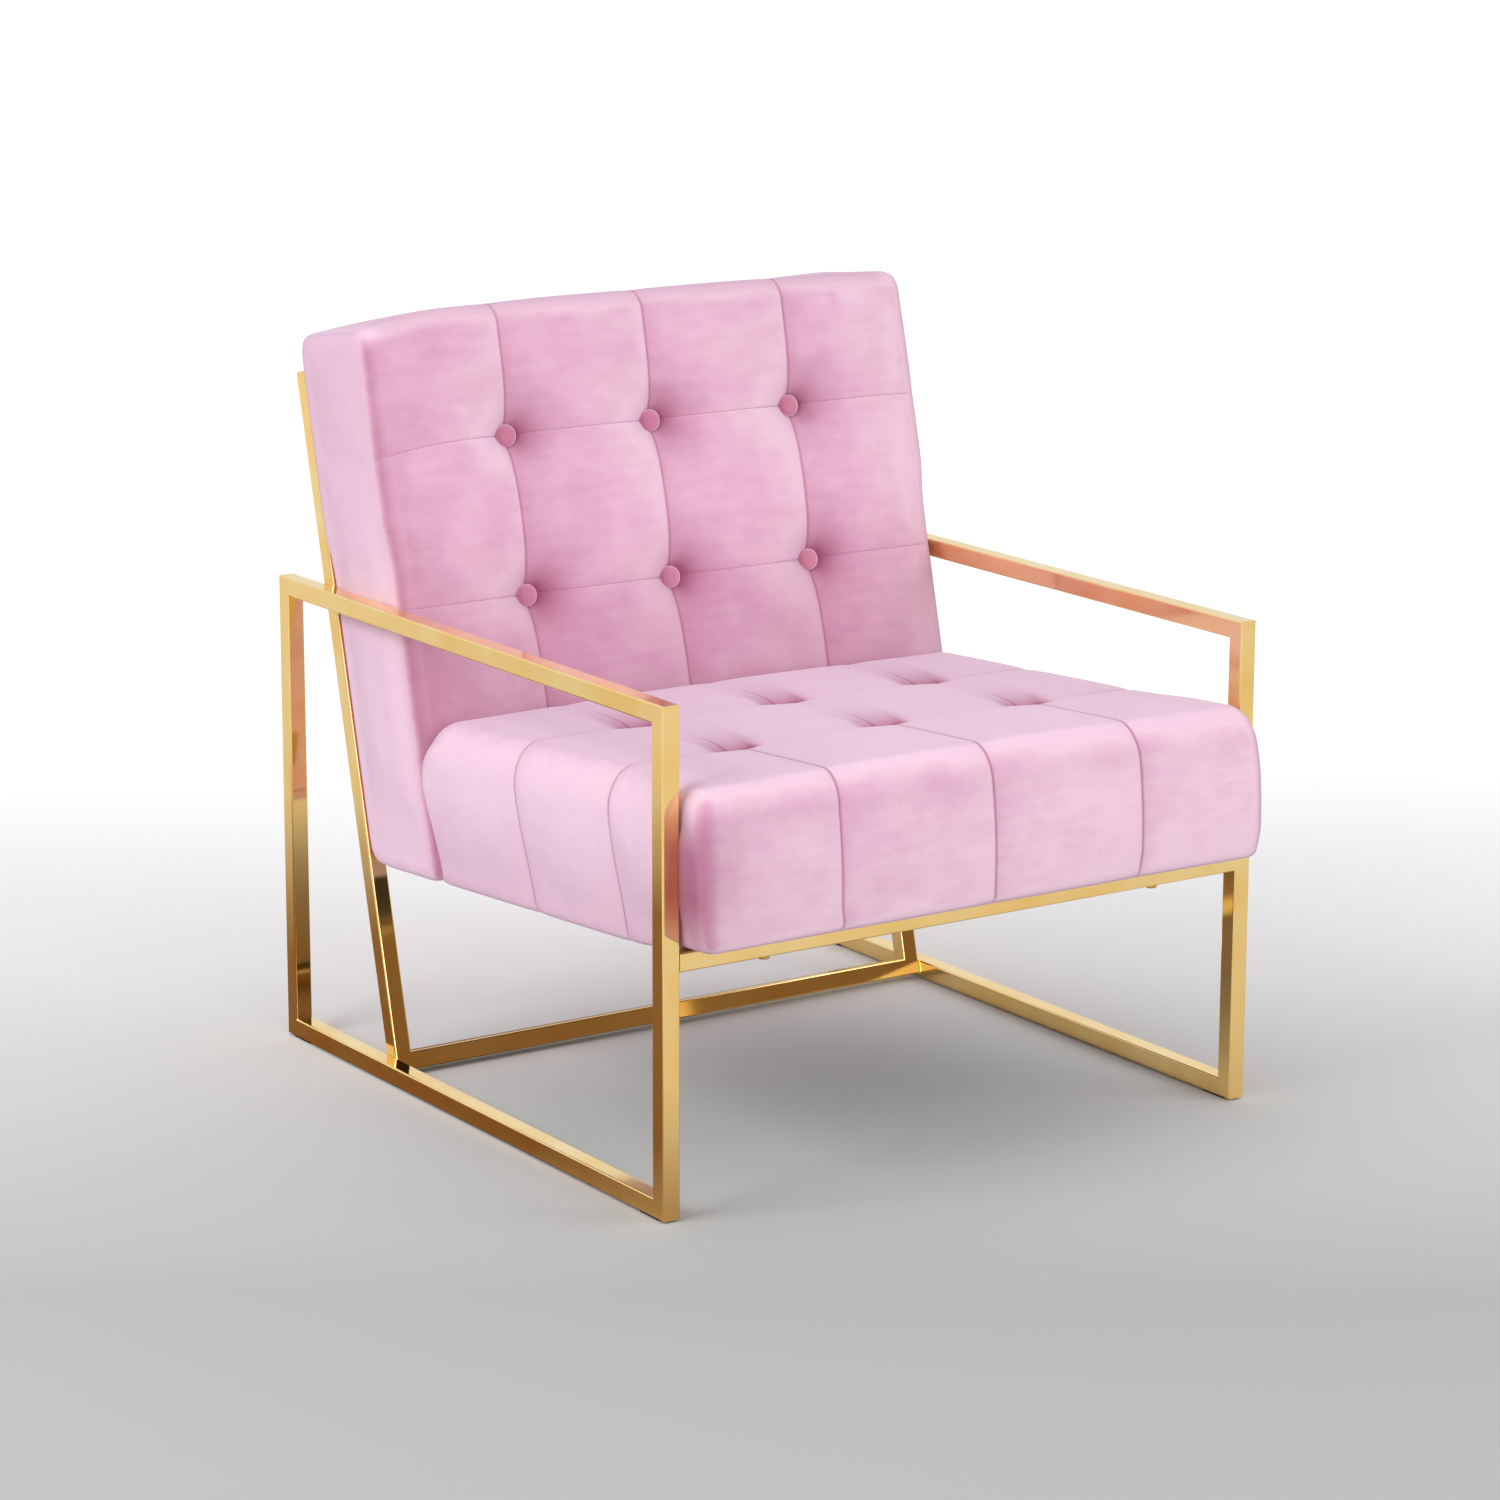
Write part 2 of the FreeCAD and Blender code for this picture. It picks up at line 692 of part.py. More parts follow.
def make_back_foam():
    """The foam slab with its button wells, twine holes and the legs that fill the lower sides."""
    front = "-back_thickness + cover"
    rear = "-(board + rear_panel + 2 * strap)"
    body = slab("back_foam", BACK, "cushion_width - 2 * cover", [
        (front, at_height("-seat_board_drop", front)),
        (front, "back_top - cover"),
        (rear, "back_top - cover"),
        (rear, at_height("-seat_board_drop", rear)),
    ])
    low = "-2 * back_thickness"
    arch = new_sketch(body, "YZ_Plane")
    outline(arch, [
        (low, at_height("-3 * seat_drop", low)),
        (low, at_height(STRAP_TOP, low)),
        ("tube", at_height(STRAP_TOP, "tube")),
        ("tube", at_height("-3 * seat_drop", "tube")),
    ])
    pocket(body, arch, f"2 * {BOARD_OUTER} + 2 * fit_gap", symmetric=True)
    spots = list(button_spots().values())
    depth = "button_recess + button_height - cover"
    floor = f"back_thickness - cover - ({depth})"
    drill(body, "XZ_Plane", floor, spots, "button_well", depth, backwards=True)
    drill(body, "XZ_Plane", "0", spots, "twine_hole", "back_thickness", backwards=True)


def make_back_boards():
    """The back's beech frame: two drilled stiles with a top and a bottom board between them."""
    height = "frame_top - frame_bottom"
    outer = "(cushion_width / 2 - cover - edge_pad)"
    hole_x = f"({HALF_GAP} - tube - tab_width / 2)"
    for side, sign in SIDES.items():
        low = f"{outer} - stile" if sign > 0 else f"-{outer}"
        stile = board(
            f"{side}_back_stile", BACK, low, "-(board + rear_panel)", "frame_bottom",
            "stile", "board", height,
        )
        hole = f"{sign} * {hole_x} - ({low})"
        spots = [(hole, f"{at} - frame_bottom") for at in ("upper_tab", "lower_tab")]
        drill(stile, "XZ_Plane", "-2 * board", spots, "nut_barrel + fit_gap", "3 * board", backwards=True)
    inner = f"({outer} - stile)"
    top = "frame_top - back_board_height"
    for label, z in (("back_top_board", top), ("back_bottom_board", "frame_bottom")):
        board(
            label, BACK, f"-{inner}", "-(board + rear_panel + strap)", z,
            f"2 * {inner}", "board + strap", "back_board_height",
        )


def make_back_webbing():
    """Cross straps on the stiles and upright straps over them on the top and bottom boards."""
    face = "board + rear_panel"
    reach = "(cushion_width / 2 - cover - edge_pad - board)"
    middle = "(back_lower_row + back_upper_row) / 2"
    cross = [(f"-{reach}", low, reach, high) for low, high in spans(BACK_CROSS_STEPS, middle)]
    make_straps("back_cross_webbing", BACK, "XZ_Plane", face, cross)
    low = "frame_bottom + board"
    high = "frame_top - board"
    upright = [(left, low, right, high) for left, right in spans(BACK_UPRIGHT_STEPS)]
    make_straps("back_upright_webbing", BACK, "XZ_Plane", f"{face} + strap", upright)


def make_buttons():
    """Covered buttons, each on a twine that ends at a toggle behind the foam."""
    rear = "(board + rear_panel + 2 * strap)"
    seat = "(back_thickness - button_recess - button_height)"
    for name, (x, z) in button_spots().items():
        body = new_body(f"back_button_{name}")
        sketch = new_sketch(body, "XZ_Plane")
        circle(sketch, "0", "0", "button")
        pad(body, sketch, "button_height")
        fillet(body, "button_edge", lambda edge: (
            is_circle(edge, "button") and edge.CenterOfMass.y < -EDGE_TOLERANCE
        ))
        place(body, BACK, x, f"-{seat}", z)
    spots = list(button_spots().values())
    discs("back_button_twines", BACK, "XZ_Plane", spots, rear, "twine", f"{seat} - {rear}")
    low = f"{rear} - toggle_height"
    discs("back_button_toggles", BACK, "XZ_Plane", spots, low, "toggle", "toggle_height")


def make_back_rear():
    """The covered rear panel and the wadding round the back's frame."""
    inner = "(cushion_width / 2 - cover)"
    low = "back_bottom + 2 * cover"
    high = "back_top - cover"
    panel = new_body("back_rear_panel")
    sketch = new_sketch(panel, "XZ_Plane")
    rectangle(sketch, f"-{inner}", low, inner, high)
    for x, z in tab_spots():
        circle(sketch, x, z, "bolt_hole")
    pad(panel, sketch, "rear_panel")
    place(panel, BACK)
    ring = new_body("back_edge_pad")
    sketch = new_sketch(ring, "XZ_Plane", "rear_panel")
    rectangle(sketch, f"-{inner}", low, inner, high)
    frame = f"({inner} - edge_pad)"
    rectangle(sketch, f"-{frame}", "frame_bottom", frame, "frame_top")
    pad(ring, sketch, "board")
    place(ring, BACK)


def check_document():
    """Every object computed and every node a valid solid."""
    doc.recompute()
    for item in doc.Objects:
        if "Invalid" in item.State or "Error" in item.State:
            raise RuntimeError(f"{item.Name} failed: {item.State}")
    for node in nodes:
        shape = node.Shape
        if shape.isNull() or not shape.isValid() or not shape.Solids:
            raise RuntimeError(f"{node.Label} is not a valid solid")


def write_parts():
    """One STEP file for each node, named by its label."""
    os.makedirs(OUT, exist_ok=True)
    for node in nodes:
        node.Shape.exportStep(f"{OUT}/{node.Label}.step")
        box = node.Shape.BoundBox
        solids = len(node.Shape.Solids)
        print(
            f"{node.Label:26s} {solids:2d} solid(s) {node.Shape.Volume / 1000:9.1f} cm3 "
            f"x {box.XMin:7.1f} {box.XMax:7.1f} y {box.YMin:7.1f} {box.YMax:7.1f} "
            f"z {box.ZMin:6.1f} {box.ZMax:6.1f}"
        )


sheet = make_sheet()
for side_name, side_sign in SIDES.items():
    make_loop(side_name, side_sign)
    make_glides(side_name, side_sign)
make_back_frame()
make_front_rail()
make_fasteners()
make_seat_cover()
make_seat_foam()
make_seat_boards()
make_corner_blocks()
make_seat_webbing()
make_seat_tufts()
make_seat_side_pads()
make_dust_cover()
make_back_cover()
make_back_foam()
make_back_boards()
make_back_webbing()
make_buttons()
make_back_rear()
check_document()
write_parts()
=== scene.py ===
"""Lounge armchair: a tufted velvet seat and back on a loop frame of gold-plated square tube."""

import json
import logging
import math
from collections.abc import Callable, Sequence
from dataclasses import dataclass
from enum import Enum

import bpy
import numpy as np
from mathutils import Matrix, Vector

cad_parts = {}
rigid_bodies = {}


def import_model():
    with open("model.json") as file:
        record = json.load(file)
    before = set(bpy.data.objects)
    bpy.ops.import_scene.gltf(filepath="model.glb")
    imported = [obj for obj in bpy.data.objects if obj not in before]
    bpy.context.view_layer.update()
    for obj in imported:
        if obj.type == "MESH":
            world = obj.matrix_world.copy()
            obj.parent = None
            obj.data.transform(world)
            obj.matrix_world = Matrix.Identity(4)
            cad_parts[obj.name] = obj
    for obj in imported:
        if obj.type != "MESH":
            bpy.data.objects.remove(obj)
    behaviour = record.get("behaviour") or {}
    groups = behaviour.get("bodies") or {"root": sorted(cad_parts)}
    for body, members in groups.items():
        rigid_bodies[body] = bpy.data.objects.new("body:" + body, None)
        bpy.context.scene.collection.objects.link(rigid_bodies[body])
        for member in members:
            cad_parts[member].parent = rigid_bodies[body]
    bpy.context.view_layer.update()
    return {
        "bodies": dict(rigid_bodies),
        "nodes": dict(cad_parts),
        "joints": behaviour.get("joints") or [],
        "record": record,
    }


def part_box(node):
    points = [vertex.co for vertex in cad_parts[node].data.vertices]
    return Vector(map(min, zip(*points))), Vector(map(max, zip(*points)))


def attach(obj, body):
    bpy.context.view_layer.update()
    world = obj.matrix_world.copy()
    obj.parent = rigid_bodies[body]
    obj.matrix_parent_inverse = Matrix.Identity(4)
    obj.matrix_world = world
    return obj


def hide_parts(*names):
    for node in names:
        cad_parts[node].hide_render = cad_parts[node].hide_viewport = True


LOG = logging.getLogger("armchair")
ROOT = "root"

# the point attribute that carries painted shade: seams, tuft pockets, button dimples and the shaded parts of
# the cushions
PAINTED_SHADE = "painted_shade"
# the buttons' colour ramp, deeper than the cushions', with the same painted sheen by view angle
BUTTON_STOPS = ((0.05, "a05a74"), (0.30, "bd7590"), (0.52, "cc8ba3"), (0.75, "dfb0c3"), (0.95, "e6c2d2"))

Rgba = tuple[float, float, float, float]
Triple = tuple[float, float, float]
Stops = Sequence[tuple[float, str]]
Shape = Callable[[np.ndarray], tuple[np.ndarray, np.ndarray, np.ndarray]]
Hold = Callable[[np.ndarray], np.ndarray]


class Slot(Enum):
    """The record's material slots that new pieces take their finish from."""

    GOLD = "polished_gold"
    VELVET = "pink_velvet"


def linear(hex_code: str) -> Rgba:
    """Turns an sRGB hex colour into linear light.

    Args:
        hex_code: The colour as six hex digits, such as "d99ab4".

    Returns:
        Red, green, blue and alpha, as shader sockets take them.
    """
    parts = [int(hex_code[i : i + 2], 16) / 255 for i in (0, 2, 4)]
    light = [p / 12.92 if p <= 0.04045 else ((p + 0.055) / 1.055) ** 2.4 for p in parts]
    return (*light, 1.0)


def per_metre(millimetres: float) -> float:
    """Gives the texture scale at which a pattern repeats every so many millimetres."""
    return 1000.0 / millimetres


def add_node(
    tree: bpy.types.NodeTree,
    kind: str,
    settings: dict[str, object] | None = None,
    inputs: dict[str | int, object] | None = None,
    stops: Stops = (),
) -> bpy.types.Node:
    """Adds one node with its settings and links.

    Args:
        tree: The node tree that gets the node.
        kind: The node type's identifier.
        settings: Values for the node's own properties.
        inputs: A value, or a socket to link from, for each named or numbered input.
        stops: Position and sRGB hex colour of each stop, on a node that has a colour ramp.

    Returns:
        The new node.
    """
    node = tree.nodes.new(kind)
    for name, value in (settings or {}).items():
        setattr(node, name, value)
    for key, value in (inputs or {}).items():
        if isinstance(value, bpy.types.NodeSocket):
            tree.links.new(value, node.inputs[key])
        else:
            node.inputs[key].default_value = value
    for index, (position, hex_code) in enumerate(stops):
        elements = node.color_ramp.elements
        element = elements[index] if index < len(elements) else elements.new(position)
        element.position = position
        element.color = linear(hex_code)
    return node


@dataclass(frozen=True)
class Finish:
    """What every finish shares: an empty material with a shader, and the object's own coordinates."""

    name: str

    def start(self) -> tuple[bpy.types.Material, bpy.types.NodeTree, bpy.types.Node, bpy.types.NodeSocket]:
        """Makes the material that a finish fills in.

        Returns:
            The material, its node tree, its shader and the place coordinates in metres.
        """
        material = bpy.data.materials.new(self.name)
        material.use_nodes = True
        tree = material.node_tree
        shader = tree.nodes["Principled BSDF"]
        place = add_node(tree, "ShaderNodeTexCoord").outputs["Object"]
        return material, tree, shader, place


@dataclass(frozen=True)
class GoldPlate(Finish):
    """Polished gold plating on welded steel tube: near-mirror, with faint polishing lines and soft waves."""

    light: str = "ffe5a8"
    deep: str = "fdd68a"
    # millimetres: a polishing wheel's lines, drawn coarser than their tenths, and the tube's slow waves
    polish_line: float = 1.6
    wave: float = 60.0
    roughness: tuple[float, float] = (0.05, 0.11)

    def material(self) -> bpy.types.Material:
        """Builds the plating: warm clear reflections that blur a little along the tube."""
        material, tree, shader, place = self.start()
        cloud = add_node(
            tree,
            "ShaderNodeTexNoise",
            inputs={"Vector": place, "Scale": per_metre(self.wave), "Detail": 1.0},
        )
        colour = add_node(
            tree,
            "ShaderNodeValToRGB",
            inputs={"Fac": cloud.outputs["Fac"]},
            stops=[(0.3, self.deep), (0.7, self.light)],
        )
        lines = add_node(
            tree,
            "ShaderNodeTexNoise",
            inputs={"Vector": place, "Scale": per_metre(self.polish_line), "Detail": 3.0},
        )
        rough = add_node(
            tree,
            "ShaderNodeMapRange",
            inputs={"Value": lines.outputs["Fac"], "To Min": self.roughness[0], "To Max": self.roughness[1]},
        )
        bump = add_node(
            tree,
            "ShaderNodeBump",
            inputs={"Height": cloud.outputs["Fac"], "Strength": 0.02, "Distance": 0.001},
        )
        tree.links.new(colour.outputs["Color"], shader.inputs["Base Color"])
        tree.links.new(rough.outputs["Result"], shader.inputs["Roughness"])
        tree.links.new(bump.outputs["Normal"], shader.inputs["Normal"])
        shader.inputs["Metallic"].default_value = 1.0
        return material


@dataclass(frozen=True)
class Velvet(Finish):
    """Short-pile polyester velvet, woven, its pile laid by a brush, with soft patches where the pile leans
    another way. Its colour carries a painted sheen, deep pink seen square on and pale where the cloth turns
    away from the view, and goes deep with the shade painted at each point."""

    # painted sheen: the colour by how far the cloth turns from the view, with the pile's patches mixed in
    stops: Stops = (
        (0.02, "a55f7b"),
        (0.16, "c48ca5"),
        (0.32, "dbabc3"),
        (0.46, "ebc8d9"),
        (0.68, "e6c4d7"),
        (0.92, "d3b3cb"),
    )
    sheen: str = "fff0f7"
    # millimetres: a hand's brush marks, the streaks in them, and the pile's tufts, which are about half a
    # millimetre apart and drawn coarser so that they show
    patch: float = 55.0
    streak: float = 14.0
    pile: float = 1.3
    stretch: Triple = (0.3, 1.0, 1.4)
    # how much each of the three turns the pile
    shares: Triple = (0.22, 0.12, 0.06)
    roughness: float = 0.9
    specular: float = 0.1
    sheen_weight: float = 0.32
    sheen_roughness: float = 0.45
    relief: float = 0.0005
    # painted shade, in seams, pockets, dimples and shaded parts: its colour, and how far that covers the
    # sheen colour
    drawn: str = "9c5673"
    cover: float = 0.72

    def material(self) -> bpy.types.Material:
        """Builds the velvet: a painted sheen, deep square on and bright wherever the cloth turns away from
        the view, and the shade painted at each point.
        """
        material, tree, shader, place = self.start()
        stretched = add_node(tree, "ShaderNodeMapping", inputs={"Vector": place, "Scale": self.stretch})
        patches = add_node(
            tree,
            "ShaderNodeTexNoise",
            inputs={"Vector": place, "Scale": per_metre(self.patch), "Detail": 4.0, "Roughness": 0.6},
        )
        streaks = add_node(
            tree,
            "ShaderNodeTexNoise",
            inputs={"Vector": stretched.outputs["Vector"], "Scale": per_metre(self.streak), "Detail": 5.0},
        )
        pile = add_node(
            tree,
            "ShaderNodeTexNoise",
            inputs={"Vector": place, "Scale": per_metre(self.pile), "Detail": 2.0, "Roughness": 0.6},
        )
        painted_shade = add_node(tree, "ShaderNodeAttribute", {"attribute_name": PAINTED_SHADE})
        # the facing value paints the sheen into the colour, and the three noises add the pile's patches
        lean = add_node(tree, "ShaderNodeLayerWeight", inputs={"Blend": 0.5})
        sheen_and_tone = lean.outputs["Facing"]
        for source, share in zip((patches, streaks, pile), self.shares):
            added = add_node(
                tree,
                "ShaderNodeMath",
                {"operation": "MULTIPLY_ADD"},
                {0: source.outputs["Fac"], 1: share, 2: sheen_and_tone},
            )
            sheen_and_tone = added.outputs["Value"]
        sheen_and_tone_colour = add_node(tree, "ShaderNodeValToRGB", inputs={"Fac": sheen_and_tone}, stops=self.stops)
        # painted shade: the colour turns deep as far as the shade painted at each point reaches
        depth = add_node(
            tree,
            "ShaderNodeMath",
            {"operation": "MULTIPLY", "use_clamp": True},
            {0: painted_shade.outputs["Fac"], 1: self.cover},
        )
        colour = add_node(
            tree,
            "ShaderNodeMix",
            {"data_type": "RGBA"},
            {0: depth.outputs["Value"], 6: sheen_and_tone_colour.outputs["Color"], 7: linear(self.drawn)},
        )
        bump = add_node(
            tree,
            "ShaderNodeBump",
            inputs={"Height": pile.outputs["Fac"], "Strength": 0.3, "Distance": self.relief},
        )
        tree.links.new(colour.outputs[2], shader.inputs["Base Color"])
        tree.links.new(bump.outputs["Normal"], shader.inputs["Normal"])
        shader.inputs["Roughness"].default_value = self.roughness
        shader.inputs["Specular IOR Level"].default_value = self.specular
        shader.inputs["Sheen Weight"].default_value = self.sheen_weight
        shader.inputs["Sheen Roughness"].default_value = self.sheen_roughness
        shader.inputs["Sheen Tint"].default_value = linear(self.sheen)
        return material


@dataclass(frozen=True)
class Woven(Finish):
    """Cloth, webbing, cord or wood seen only from inside or below: two tones in a fine directional grain."""

    deep: str = "141416"
    pale: str = "2a2a2d"
    # millimetres from one thread, cell or grain line to the next
    thread: float = 1.2
    stretch: Triple = (1.0, 1.0, 1.0)
    roughness: float = 0.85
    metallic: float = 0.0
    relief: float = 0.0004

    def material(self) -> bpy.types.Material:
        """Builds the grain, so that each of these parts has a real surface wherever it is seen."""
        material, tree, shader, place = self.start()
        along = add_node(tree, "ShaderNodeMapping", inputs={"Vector": place, "Scale": self.stretch})
        grain = add_node(
            tree,
            "ShaderNodeTexNoise",
            inputs={"Vector": along.outputs["Vector"], "Scale": per_metre(self.thread), "Detail": 4.0},
        )
        colour = add_node(
            tree,
            "ShaderNodeValToRGB",
            inputs={"Fac": grain.outputs["Fac"]},
            stops=[(0.35, self.deep), (0.65, self.pale)],
        )
        bump = add_node(
            tree,
            "ShaderNodeBump",
            inputs={"Height": grain.outputs["Fac"], "Strength": 0.5, "Distance": self.relief},
        )
        tree.links.new(colour.outputs["Color"], shader.inputs["Base Color"])
        tree.links.new(bump.outputs["Normal"], shader.inputs["Normal"])
        shader.inputs["Roughness"].default_value = self.roughness
        shader.inputs["Metallic"].default_value = self.metallic
        return material


def valley(distance: np.ndarray, width: float) -> np.ndarray:
    """Gives 1 on a seam, falling away on both sides as stuffed cloth does."""
    return np.exp(-np.abs(distance) / width)


def slit(distance: np.ndarray, width: float) -> np.ndarray:
    """Gives 1 in a narrow stitched line and 0 beside it."""
    return np.exp(-((distance / width) ** 2))


def rise(values: np.ndarray, start: float, end: float) -> np.ndarray:
    """Turns smoothly from 0 at start to 1 at end."""
    share = np.clip((values - start) / (end - start), 0.0, 1.0)
    return share * share * (3.0 - 2.0 * share)


def mix(low: float, high: float, share: np.ndarray) -> np.ndarray:
    """Goes from low to high as share goes from 0 to 1."""
    return low + (high - low) * share


def grid_lines(low: float, high: float, spacing: float, seams: Sequence[float] = ()) -> np.ndarray:
    """Divides one direction of a cushion, with close lines at its ends and along its seams.

    Args:
        low: The direction's lower end.
        high: Its upper end.
        spacing: The usual distance between lines.
        seams: Where seams cross the direction.

    Returns:
        The lines' places, in rising order.
    """
    even = np.linspace(low, high, round((high - low) / spacing) + 1)
    beside_seam = np.array([0.0, 0.0007, 0.0016, 0.0030, 0.0050])
    beside_end = np.array([0.0, 0.0012, 0.003])
    clear_of_seam = 0.0065
    places = np.array(seams, float).reshape(-1, 1)
    fine = (places + np.concatenate([-beside_seam[:0:-1], beside_seam])).ravel()
    apart = np.ones(len(even), bool)
    for seam in seams:
        apart &= np.abs(even - seam) > clear_of_seam
    return np.unique(np.concatenate([even[apart], fine, low + beside_end, high - beside_end]).round(7))


@dataclass(frozen=True)
class TiltedAxes:
    """A cushion's own directions: across the chair, back along the slope, and up from it."""

    origin_y: float
    origin_z: float
    tilt: float

    def to_chair(self, points: np.ndarray) -> np.ndarray:
        """Turns points from the cushion's directions to the chair's."""
        moved = self.turn(points)
        moved[:, 1] += self.origin_y
        moved[:, 2] += self.origin_z
        return moved

    def turn(self, directions: np.ndarray) -> np.ndarray:
        """Turns directions, without moving them."""
        sine, cosine = math.sin(math.radians(self.tilt)), math.cos(math.radians(self.tilt))
        across, back, up = directions.T
        return np.stack([across, back * cosine + up * sine, up * cosine - back * sine], axis=1)


@dataclass(frozen=True)
class Block:
    """A cushion's plain block, whose edges may be rounded differently from place to place."""

    low: Triple
    high: Triple

    def rounded(
        self, points: np.ndarray, low_radius: Sequence[np.ndarray], high_radius: Sequence[np.ndarray]
    ) -> tuple[np.ndarray, np.ndarray]:
        """Moves points of the block's faces on to its rounded form.

        Args:
            points: Points on the faces, one per row.
            low_radius: For each direction, how far the rounding reaches from the low side at every point.
            high_radius: The same from the high side.

        Returns:
            The moved points and the directions that face outwards there.
        """
        ones = np.ones(len(points))
        low_reach = np.stack([radius * ones for radius in low_radius], axis=1)
        high_reach = np.stack([radius * ones for radius in high_radius], axis=1)
        core = np.clip(points, np.array(self.low) + low_reach, np.array(self.high) - high_reach)
        reach = np.where(points < core, low_reach, high_reach)
        away = (points - core) / reach
        away /= np.linalg.norm(away, axis=1, keepdims=True)
        outward = away / reach
        outward /= np.linalg.norm(outward, axis=1, keepdims=True)
        return core + away * reach, outward


def shell(lines: Sequence[np.ndarray]) -> tuple[np.ndarray, np.ndarray]:
    """Covers the outside of a block with quads.

    Args:
        lines: The grid lines in each of the three directions.

    Returns:
        The corners, one per row, and the quads that join them.
    """
    counts = tuple(len(line) for line in lines)
    outside = np.ones(counts, bool)
    outside[1:-1, 1:-1, 1:-1] = False
    number = np.full(counts, -1)
    number[outside] = np.arange(outside.sum())
    steps = np.argwhere(outside)
    corners = np.stack([lines[axis][steps[:, axis]] for axis in range(3)], axis=1)
    quads = []
    for axis in range(3):
        for end in (0, -1):
            side = np.take(number, end, axis=axis)
            ring = [side[:-1, :-1], side[1:, :-1], side[1:, 1:], side[:-1, 1:]]
            if (axis == 1) != (end == 0):
                ring.reverse()
            quads.append(np.stack(ring, axis=-1).reshape(-1, 4))
    return corners, np.concatenate(quads)


def make_piece(
    name: str, corners: np.ndarray, faces: Sequence[Sequence[int]], painted_shade: np.ndarray | None = None
) -> bpy.types.Object:
    """Makes a smooth mesh piece.

    Args:
        name: The piece's name.
        corners: Its points in the chair's frame, in metres.
        faces: The corner numbers of each face.
        painted_shade: The shade painted at each point, in hollows and on shaded parts, which the velvet's
            colour follows.

    Returns:
        The new object.
    """
    mesh = bpy.data.meshes.new(name)
    mesh.from_pydata(corners.tolist(), [], [list(map(int, face)) for face in faces])
    mesh.polygons.foreach_set("use_smooth", [True] * len(mesh.polygons))
    if painted_shade is not None:
        mesh.attributes.new(PAINTED_SHADE, "FLOAT", "POINT").data.foreach_set("value", painted_shade.astype(np.float32))
    mesh.update()
    piece = bpy.data.objects.new(name, mesh)
    bpy.context.scene.collection.objects.link(piece)
    return piece


def subdivide(piece: bpy.types.Object) -> None:
    """Rounds a cloth piece with one level of subdivision."""
    modifier = piece.modifiers.new("cloth_smooth", "SUBSURF")
    modifier.levels = modifier.render_levels = 1


def finish_piece(
    piece: bpy.types.Object, material: bpy.types.Material, replaced: Sequence[str]
) -> None:
    """Dresses a piece and ties it to the frame.

    Args:
        piece: The new piece.
        material: Its finish.
        replaced: The CAD nodes that it stands for.
    """
    piece.data.materials.append(material)
    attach(piece, ROOT)
    if replaced:
        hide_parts(*replaced)
    LOG.info("made %s with %d faces", piece.name, len(piece.data.polygons))


@dataclass(frozen=True)
class Thread:
    """A row of lockstitches lying in a seam."""

    pitch: float = 0.0042
    length: float = 0.0031
    radius: float = 0.00042
    sink: float = 0.0001
    sides: int = 6
    # places along a stitch, and its thickness and its arch there, as shares of length and radius
    shares: tuple[float, ...] = (0.0, 0.12, 0.5, 0.88, 1.0)
    swell: tuple[float, ...] = (0.35, 0.85, 1.0, 0.85, 0.35)
    arch: tuple[float, ...] = (-0.6, 0.2, 0.8, 0.2, -0.6)

    def bodies(self, centres: np.ndarray, outward: np.ndarray) -> tuple[np.ndarray, list[tuple[int, ...]]]:
        """Makes the stitches of one seam.

        Args:
            centres: Close points along the seam's bottom.
            outward: The directions that face outwards there.

        Returns:
            The stitches' corners and faces.
        """
        steps = np.linalg.norm(np.diff(centres, axis=0), axis=1)
        run = np.concatenate([[0.0], np.cumsum(steps)])
        starts = np.arange(self.pitch, run[-1] - self.pitch, self.pitch)
        step = self.length / self.sides
        spots = (starts[:, None] + np.array(self.shares) * self.length).ravel()
        middle = along_path(spots, run, centres)
        up = unit(along_path(spots, run, outward))
        forward = unit(along_path(spots + step, run, centres) - along_path(spots - step, run, centres))
        side = np.cross(forward, up)
        lifts = np.tile(np.array(self.arch) * self.radius - self.sink, len(starts))
        radii = np.tile(np.array(self.swell) * self.radius, len(starts))
        turns = np.arange(self.sides) * 2 * math.pi / self.sides
        ring = side[:, None] * np.cos(turns)[None, :, None] + up[:, None] * np.sin(turns)[None, :, None]
        corners = (middle + up * lifts[:, None])[:, None] + ring * radii[:, None, None]
        faces = []
        for stitch in range(len(starts)):
            first = stitch * len(self.shares) * self.sides
            last = first + (len(self.shares) - 1) * self.sides
            for start in range(first, last, self.sides):
                for turn in range(self.sides):
                    a, b = start + turn, start + (turn + 1) % self.sides
                    faces.append((a, b, b + self.sides, a + self.sides))
            faces.append(tuple(first + turn for turn in reversed(range(self.sides))))
            faces.append(tuple(last + turn for turn in range(self.sides)))
        return corners.reshape(-1, 3), faces


def unit(vectors: np.ndarray) -> np.ndarray:
    """Gives every vector a length of 1."""
    return vectors / np.linalg.norm(vectors, axis=1, keepdims=True)


def along_path(spots: np.ndarray, run: np.ndarray, values: np.ndarray) -> np.ndarray:
    """Reads three-part values at distances along a path whose points lie at the distances in run."""
    return np.stack([np.interp(spots, run, values[:, part]) for part in range(3)], axis=1)


def sew(name: str, surface: Shape, seams: Sequence[np.ndarray], thread: Thread) -> bpy.types.Object:
    """Makes the stitches of a cushion's seams as one piece.

    Args:
        name: The piece's name.
        surface: The cushion's surface.
        seams: Corner points of each seam on the cushion's block.
        thread: The stitches' form.

    Returns:
        The new piece.
    """
    point_spacing = 0.0015
    corners, faces, count = [], [], 0
    for seam in seams:
        run = np.concatenate([[0.0], np.cumsum(np.linalg.norm(np.diff(seam, axis=0), axis=1))])
        spots = np.linspace(0.0, run[-1], round(run[-1] / point_spacing))
        centres, outward, _ = surface(along_path(spots, run, seam))
        found, polygons = thread.bodies(centres, outward)
        faces.extend(tuple(corner + count for corner in polygon) for polygon in polygons)
        corners.append(found)
        count += len(found)
    return make_piece(name, np.concatenate(corners), faces)


